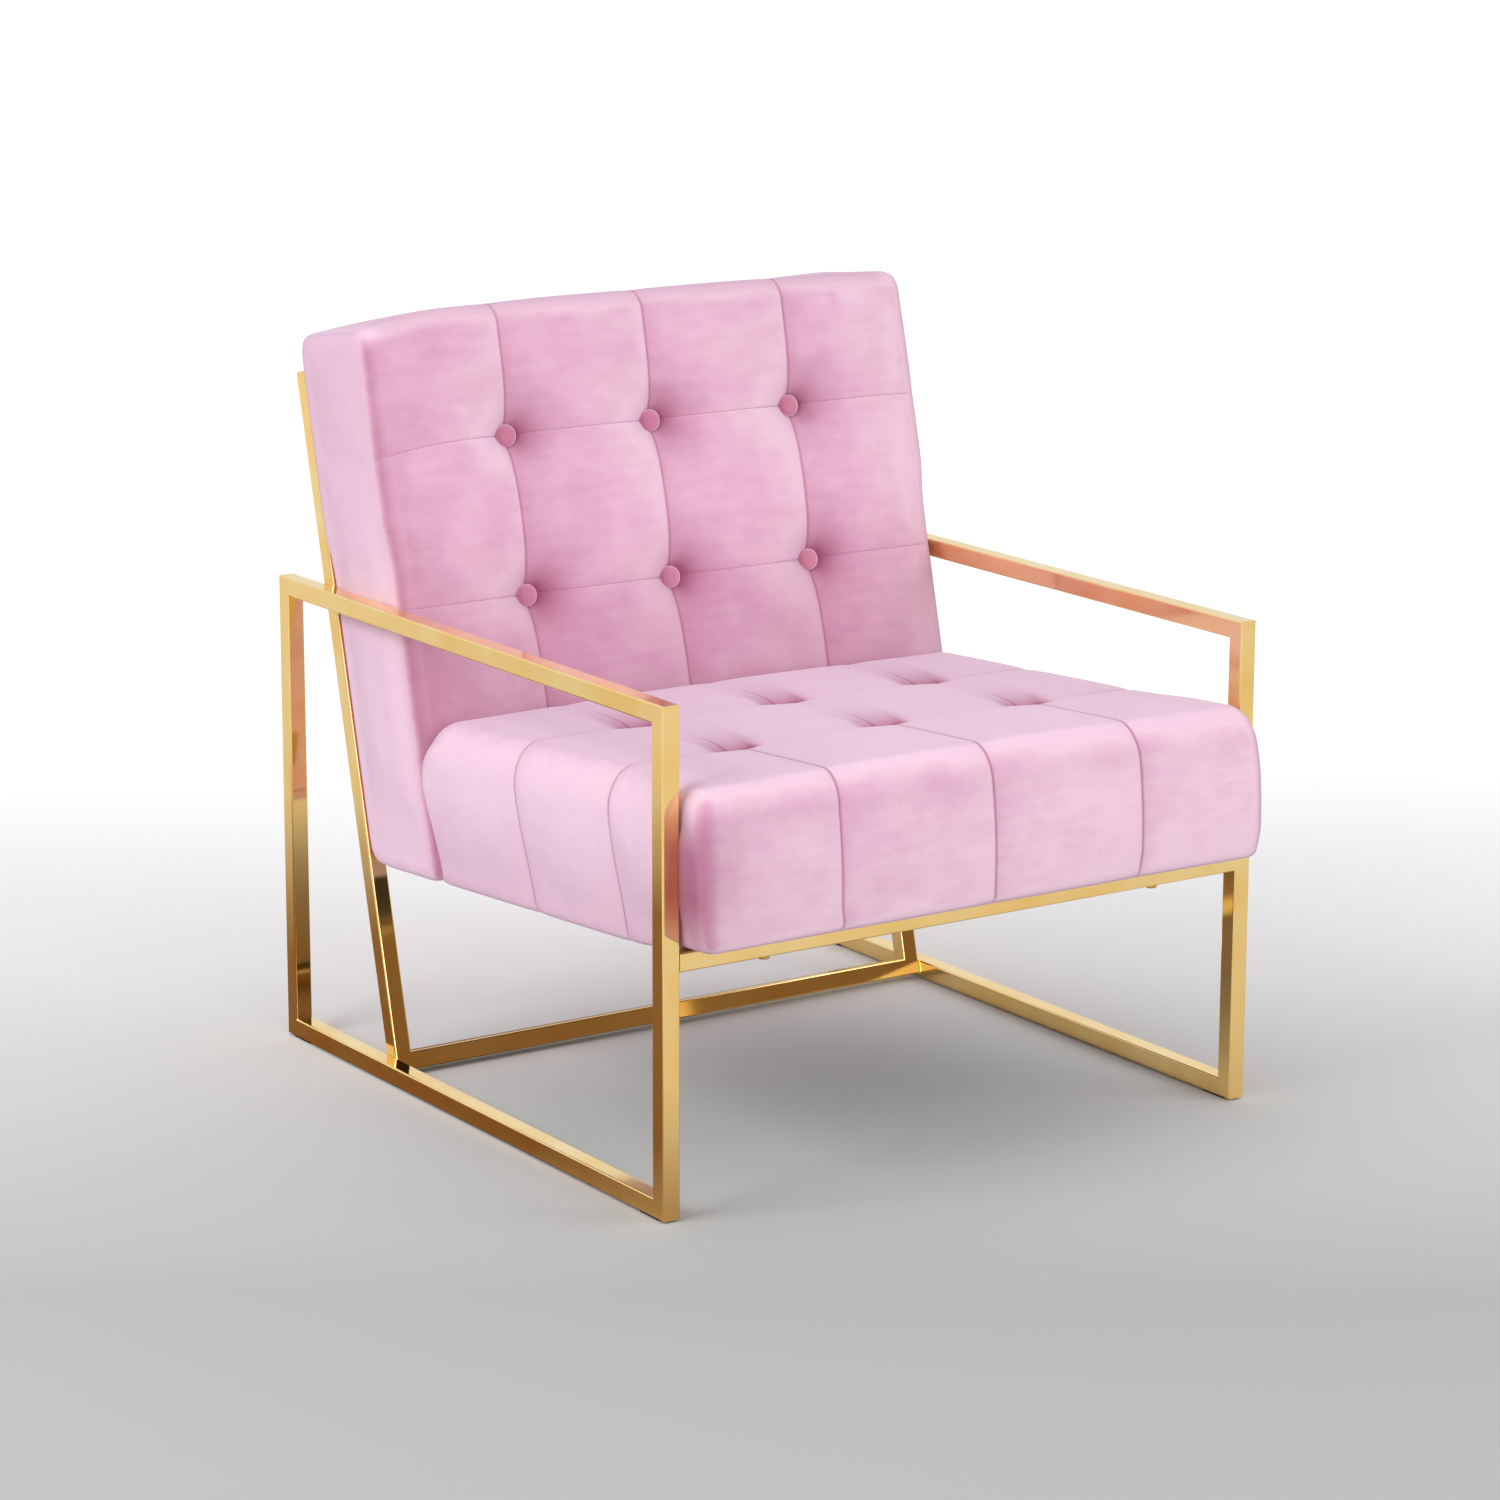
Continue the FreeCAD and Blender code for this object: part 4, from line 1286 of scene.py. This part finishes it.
    def seam_grooves(
        self, points: np.ndarray, up: np.ndarray, front: np.ndarray, rear: np.ndarray
    ) -> tuple[np.ndarray, np.ndarray]:
        """Gives the grooves of the column seams, the row seams and the rear panel's seam.

        Args:
            points: Points on the block's faces.
            up: How much each point faces upwards.
            front: How much it faces forwards.
            rear: How much it faces backwards.

        Returns:
            The grooves' depths, and the shade painted along them.
        """
        sewn = rise(up + front, *self.seam_turn)
        cut = sewn * mix(1.0, self.column_top_share, up)
        groove, painted_shade = np.zeros(len(points)), np.zeros(len(points))
        for column in self.columns:
            gap = points[:, 0] - column
            groove += self.column_seam.depth(gap, cut, cut)
            painted_shade += self.column_seam.shade(gap, sewn * rise(gap, *self.shaded_side), sewn)
        for row in self.rows:
            gap = points[:, 2] - row
            groove += self.row_seam.depth(gap, front, front)
            painted_shade += self.row_seam.shade(gap, front, front)
        ends = np.minimum(points[:, 2] - self.bottom, self.top - points[:, 2])
        gap = np.minimum(self.half_width - np.abs(points[:, 0]), ends) - self.panel_inset
        groove += self.panel_seam.depth(gap, rear, rear)
        painted_shade += self.panel_seam.shade(gap, rear, rear)
        return groove, painted_shade

    def seams(self) -> list[np.ndarray]:
        """Corner points of the seams: up the front and over the top, and across the front."""
        front, rear, low, high = -self.thickness, -self.stitch_rear, self.bottom + self.stitch_hem, self.top
        right = self.half_width - self.stitch_side
        runs = [
            np.array([[column, front, low], [column, front, high], [column, rear, high]])
            for column in self.columns
        ]
        return runs + [np.array([[-right, front, row], [right, front, row]]) for row in self.rows]

    def lines(self) -> list[np.ndarray]:
        """Grid lines of the finished cover."""
        wide = self.half_width - self.panel_inset
        low, high = self.bottom + self.panel_inset, self.top - self.panel_inset
        return [
            grid_lines(-self.half_width, self.half_width, self.spacing, [*self.columns, -wide, wide]),
            grid_lines(-self.thickness, 0.0, self.spacing),
            grid_lines(self.bottom, self.top, self.spacing, [*self.rows, low, high]),
        ]

    def net_marks(self) -> tuple[Sequence[float], ...]:
        """Where the seams cross each of the block's directions."""
        return (self.columns, (), self.rows)

    def held(self, points: np.ndarray) -> np.ndarray:
        """Holds the seams, the button pulls, the bottom and the stapled rear.

        Args:
            points: Points on the block's faces.

        Returns:
            1 where the cloth can't move, down to 0 where it is free.
        """
        hold = 1.0 - rise(points[:, 2] - self.bottom, *self.held_foot)
        hold = np.maximum(hold, rise(points[:, 1], *self.held_rear))
        for column in self.columns:
            hold = np.maximum(hold, self.seam_hold * slit(points[:, 0] - column, self.held_seam))
        for row in self.rows:
            hold = np.maximum(hold, self.row_hold * slit(points[:, 2] - row, self.held_seam))
            for column in self.columns:
                reach = np.hypot(points[:, 0] - column, points[:, 2] - row)
                hold = np.maximum(hold, 1.0 - rise(reach, *self.held_button))
        return hold


@dataclass(frozen=True)
class CoveredButton:
    """A button with a domed metal cap under stretched velvet."""

    radius: float = 0.0122
    height: float = 0.0110
    segments: int = 56
    gathers: int = 14
    gather_depth: float = 0.018
    gather_zone: tuple[float, float] = (0.2, 0.9)
    # share of the radius, and share of the height behind the dome's top
    profile: tuple[tuple[float, float], ...] = (
        (0.30, 0.008), (0.58, 0.03), (0.80, 0.08), (0.93, 0.16), (1.0, 0.30), (1.0, 0.46),
        (0.97, 0.62), (0.92, 0.78), (0.88, 1.0), (0.40, 1.05),
    )

    def build(self, node: str, axes: TiltedAxes, velvet: bpy.types.Material) -> None:
        """Builds one button where its CAD node is.

        Args:
            node: The CAD node that it replaces.
            axes: The back's directions.
            velvet: The cover's finish.
        """
        low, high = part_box(node)
        turns = np.arange(self.segments) * 2 * math.pi / self.segments
        corners = [(0.0, 0.0, 0.0)]
        for share, behind in self.profile:
            gathered = self.gather_depth * float(rise(np.array(behind), *self.gather_zone))
            reach = self.radius * share * (1.0 + gathered * np.cos(turns * self.gathers))
            back = np.full(self.segments, behind * self.height)
            corners += list(zip(reach * np.cos(turns), back, reach * np.sin(turns)))
        corners.append((0.0, self.profile[-1][1] * self.height, 0.0))
        faces = []
        last = len(corners) - 1
        final = last - self.segments
        for turn in range(self.segments):
            after = (turn + 1) % self.segments
            faces.append((0, 1 + turn, 1 + after))
            faces.append((final + after, final + turn, last))
            for start in range(1, final, self.segments):
                a, b = start + turn, start + after
                faces.append((a, a + self.segments, b + self.segments, b))
        centred = np.array(corners) - np.array([0.0, self.height / 2, 0.0])
        piece = make_piece(f"{node}_velvet", axes.turn(centred) + np.array((low + high) / 2), faces)
        subdivide(piece)
        finish_piece(piece, velvet, (node,))


def metal(name: str, deep: str, pale: str, roughness: float) -> Woven:
    """The finish of a small plated steel part."""
    return Woven(name, deep, pale, thread=1.4, roughness=roughness, metallic=1.0, relief=0.0001)


@dataclass(frozen=True)
class FrameFinishes:
    """The finishes of the CAD nodes that stay as they are."""

    gold: tuple[str, ...] = ("rail", "post", "upright", "cap", "tab", "crossbar")
    rules: tuple[tuple[str, Finish], ...] = (
        ("bolts", metal("gold_bolt_steel", "b9934a", "d9b667", 0.28)),
        ("inserts", metal("zinc_steel", "8f9193", "b4b6b8", 0.4)),
        ("tee_nuts", metal("zinc_plate", "8f9193", "b4b6b8", 0.4)),
        ("glide", Woven("moulded_nylon", "16130f", "231f1a", 0.8, roughness=0.5)),
        ("webbing", Woven("elastic_webbing", "1c1b1d", "343336", 1.6)),
        ("twine", Woven("waxed_twine", "cfc3ab", "e6dcc8", 1.0)),
        ("toggle", Woven("moulded_toggle", "d2d0ca", "dddbd5", 2.0, roughness=0.5)),
        ("dust_cover", Woven("spun_bonded_cloth", "0e0e10", "232326", 1.5)),
        ("board", Woven("planed_beech", "b88a5a", "d0a878", 5.0, (0.12, 1.0, 1.0), 0.6)),
        ("block", Woven("sawn_beech", "b88a5a", "d0a878", 5.0, (0.12, 1.0, 1.0), 0.6)),
        ("stile", Woven("planed_beech_stile", "b88a5a", "d0a878", 5.0, (1.0, 1.0, 0.12), 0.6)),
        ("foam", Woven("foam", "e4d8ae", "f1e8c6", 1.5, roughness=0.9)),
        ("pad", Woven("wadding", "e6e3dc", "f3f1ec", 3.0, roughness=0.95)),
    )

    def dress(
        self, nodes: dict[str, bpy.types.Object], gold: bpy.types.Material, velvet: bpy.types.Material
    ) -> None:
        """Gives every CAD node its finish.

        Args:
            nodes: The CAD nodes by name.
            gold: The plating of the tube.
            velvet: The cover cloth, for what it covers.
        """
        made = {finish.name: finish.material() for _, finish in self.rules}
        for name, node in sorted(nodes.items()):
            chosen = next((made[finish.name] for word, finish in self.rules if word in name), None)
            if chosen is None:
                chosen = gold if any(word in name for word in self.gold) else velvet
            for place in node.material_slots:
                place.material = chosen
            LOG.info("dressed %s in %s", name, chosen.name)


@dataclass(frozen=True)
class SoftBox:
    """One square studio light."""

    name: str
    place: Triple
    size: float
    power: float
    target: Triple = (0.0, 0.0, 0.4)

    def hang(self) -> None:
        """Hangs the light so that it faces its target."""
        data = bpy.data.lights.new(self.name, "AREA")
        data.energy, data.size = self.power, self.size
        light = bpy.data.objects.new(self.name, data)
        bpy.context.scene.collection.objects.link(light)
        light.location = self.place
        light.rotation_euler = (Vector(self.target) - light.location).to_track_quat("-Z", "Y").to_euler()


@dataclass(frozen=True)
class Studio:
    """A pale floor with painted shade, grey in front and whitening towards the back, soft light and the
    camera.
    """

    camera_place: Triple = (-2.713, -3.995, 1.511)
    camera_target: Triple = (-0.008, 0.022, 0.354)
    roll: float = 0.14
    lens: float = 111.7
    sensor: float = 36.0
    floor_reach: float = 15.0
    floor_steps: int = 12
    # painted shade on the floor: grey near the camera to white far away, between these two distances from the
    # middle, in metres
    floor_shades: tuple[float, float] = (-0.7, 2.4)
    floor_stops: Stops = ((0.0, "adadad"), (0.35, "dcdcdc"), (1.0, "f2f2f2"))
    glow_start: float = 0.2
    glow: float = 0.35
    # what only the polished tube mirrors: a lighter floor with a warm dark patch, and a dark wall in front
    mirrored_colour: str = "d0cabd"
    patch_colour: str = "7d5f42"
    patch_place: Triple = (-0.7, 0.25, 0.0)
    patch_reach: tuple[float, float] = (0.45, 1.15)
    wall_colour: str = "8a6a48"
    wall_direction: Triple = (0.545, -0.825, 0.150)
    wall_spread: tuple[float, float] = (0.88, 0.975)
    world_strength: float = 0.85
    lights: tuple[SoftBox, ...] = (
        SoftBox("key_light", (2.1, -2.5, 2.2), 1.6, 24.0),
        SoftBox("window_light", (-2.8, -0.2, 2.1), 1.6, 46.0),
        SoftBox("front_light", (-0.6, -3.6, 0.9), 1.6, 24.0),
    )

    def build(self) -> None:
        """Builds the floor, the lights and the camera."""
        self.make_camera()
        self.make_floor()
        self.make_light()
        LOG.info("made the studio")

    def make_camera(self) -> None:
        """Places the camera."""
        camera = bpy.data.objects.new("camera", bpy.data.cameras.new("camera"))
        bpy.context.scene.collection.objects.link(camera)
        camera.location = self.camera_place
        look = Vector(self.camera_target) - camera.location
        turn = look.to_track_quat("-Z", "Y").to_matrix()
        roll = Matrix.Rotation(math.radians(self.roll), 3, "Z")
        camera.rotation_euler = (turn @ roll).to_euler()
        camera.data.lens = self.lens
        camera.data.sensor_width = self.sensor
        camera.data.clip_end = 100.0
        bpy.context.scene.camera = camera

    def make_floor(self) -> None:
        """Lays the floor, a coarse grid that is one flat sheet."""
        row = self.floor_steps + 1
        places = np.linspace(-self.floor_reach, self.floor_reach, row)
        corners = np.array([(x, y, 0.0) for y in places for x in places])
        starts = [r * row + c for r in range(self.floor_steps) for c in range(self.floor_steps)]
        floor = make_piece("floor", corners, [(s, s + 1, s + row + 1, s + row) for s in starts])
        floor.data.materials.append(self.paper())

    def paper(self) -> bpy.types.Material:
        """Builds studio paper: painted shade grey in front, white and glowing behind, warm and dark where
        mirrored.
        """
        material = bpy.data.materials.new("seamless_paper")
        material.use_nodes = True
        tree = material.node_tree
        shader = tree.nodes["Principled BSDF"]
        place = add_node(tree, "ShaderNodeTexCoord").outputs["Object"]
        away = Vector(self.camera_target) - Vector(self.camera_place)
        away.z = 0.0
        away.normalize()
        along = add_node(tree, "ShaderNodeVectorMath", {"operation": "DOT_PRODUCT"}, {0: place, 1: away})
        share = add_node(
            tree,
            "ShaderNodeMapRange",
            inputs={
                "Value": along.outputs["Value"],
                "From Min": self.floor_shades[0],
                "From Max": self.floor_shades[1],
            },
        )
        colour = add_node(
            tree, "ShaderNodeValToRGB", inputs={"Fac": share.outputs["Result"]}, stops=self.floor_stops
        )
        glow = add_node(
            tree,
            "ShaderNodeMapRange",
            {"interpolation_type": "SMOOTHSTEP"},
            {
                "Value": share.outputs["Result"],
                "From Min": self.glow_start,
                "From Max": 1.0,
                "To Max": self.glow,
            },
        )
        distance = add_node(
            tree, "ShaderNodeVectorMath", {"operation": "DISTANCE"}, {0: place, 1: self.patch_place}
        )
        near = add_node(
            tree,
            "ShaderNodeMapRange",
            inputs={
                "Value": distance.outputs["Value"],
                "From Min": self.patch_reach[0],
                "From Max": self.patch_reach[1],
                "To Min": 1.0,
                "To Max": 0.0,
            },
        )
        path = add_node(tree, "ShaderNodeLightPath")
        mirrored = add_node(
            tree,
            "ShaderNodeMix",
            {"data_type": "RGBA"},
            {0: near.outputs["Result"], 6: linear(self.mirrored_colour), 7: linear(self.patch_colour)},
        )
        seen = add_node(
            tree,
            "ShaderNodeMix",
            {"data_type": "RGBA"},
            {0: path.outputs["Is Glossy Ray"], 6: colour.outputs["Color"], 7: mirrored.outputs[2]},
        )
        tree.links.new(seen.outputs[2], shader.inputs["Base Color"])
        shader.inputs["Emission Color"].default_value = (1.0, 1.0, 1.0, 1.0)
        tree.links.new(glow.outputs["Result"], shader.inputs["Emission Strength"])
        shader.inputs["Roughness"].default_value = 0.9
        shader.inputs["Specular IOR Level"].default_value = 0.0
        return material

    def make_light(self) -> None:
        """Hangs the soft boxes and sets the white room light."""
        world = bpy.data.worlds.new("white_room")
        world.use_nodes = True
        tree = world.node_tree
        place = add_node(tree, "ShaderNodeTexCoord").outputs["Generated"]
        wall = Vector(self.wall_direction).normalized()
        towards = add_node(tree, "ShaderNodeVectorMath", {"operation": "DOT_PRODUCT"}, {0: place, 1: wall})
        share = add_node(
            tree,
            "ShaderNodeMapRange",
            inputs={
                "Value": towards.outputs["Value"],
                "From Min": self.wall_spread[0],
                "From Max": self.wall_spread[1],
            },
        )
        path = add_node(tree, "ShaderNodeLightPath")
        mirrored = add_node(
            tree,
            "ShaderNodeMath",
            {"operation": "MULTIPLY"},
            {0: share.outputs["Result"], 1: path.outputs["Is Glossy Ray"]},
        )
        seen = add_node(
            tree,
            "ShaderNodeMix",
            {"data_type": "RGBA"},
            {0: mirrored.outputs["Value"], 6: (1.0, 1.0, 1.0, 1.0), 7: linear(self.wall_colour)},
        )
        room = tree.nodes["Background"]
        tree.links.new(seen.outputs[2], room.inputs["Color"])
        room.inputs["Strength"].default_value = self.world_strength
        bpy.context.scene.world = world
        for light in self.lights:
            light.hang()
        bpy.context.scene.view_settings.view_transform = "Standard"


def main() -> None:
    """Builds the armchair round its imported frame."""
    logging.basicConfig(level=logging.INFO, format="%(message)s")
    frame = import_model()
    Studio().build()
    gold = GoldPlate("polished_gold_plate").material()
    velvet = Velvet("pink_velvet").material()
    button_velvet = Velvet("pink_button_velvet", stops=BUTTON_STOPS).material()
    thread = Woven("polyester_thread", "b06f89", "c98aa3", thread=0.6, roughness=0.6).material()
    FrameFinishes().dress(frame["nodes"], gold, velvet)
    SeatCushion().build(velvet, thread)
    back = BackCushion()
    back.build(velvet, thread)
    for node in sorted(frame["nodes"]):
        if node.startswith("back_button_") and not node.endswith(("twines", "toggles")):
            CoveredButton().build(node, back.axes, button_velvet)


if __name__ == "__main__":
    main()
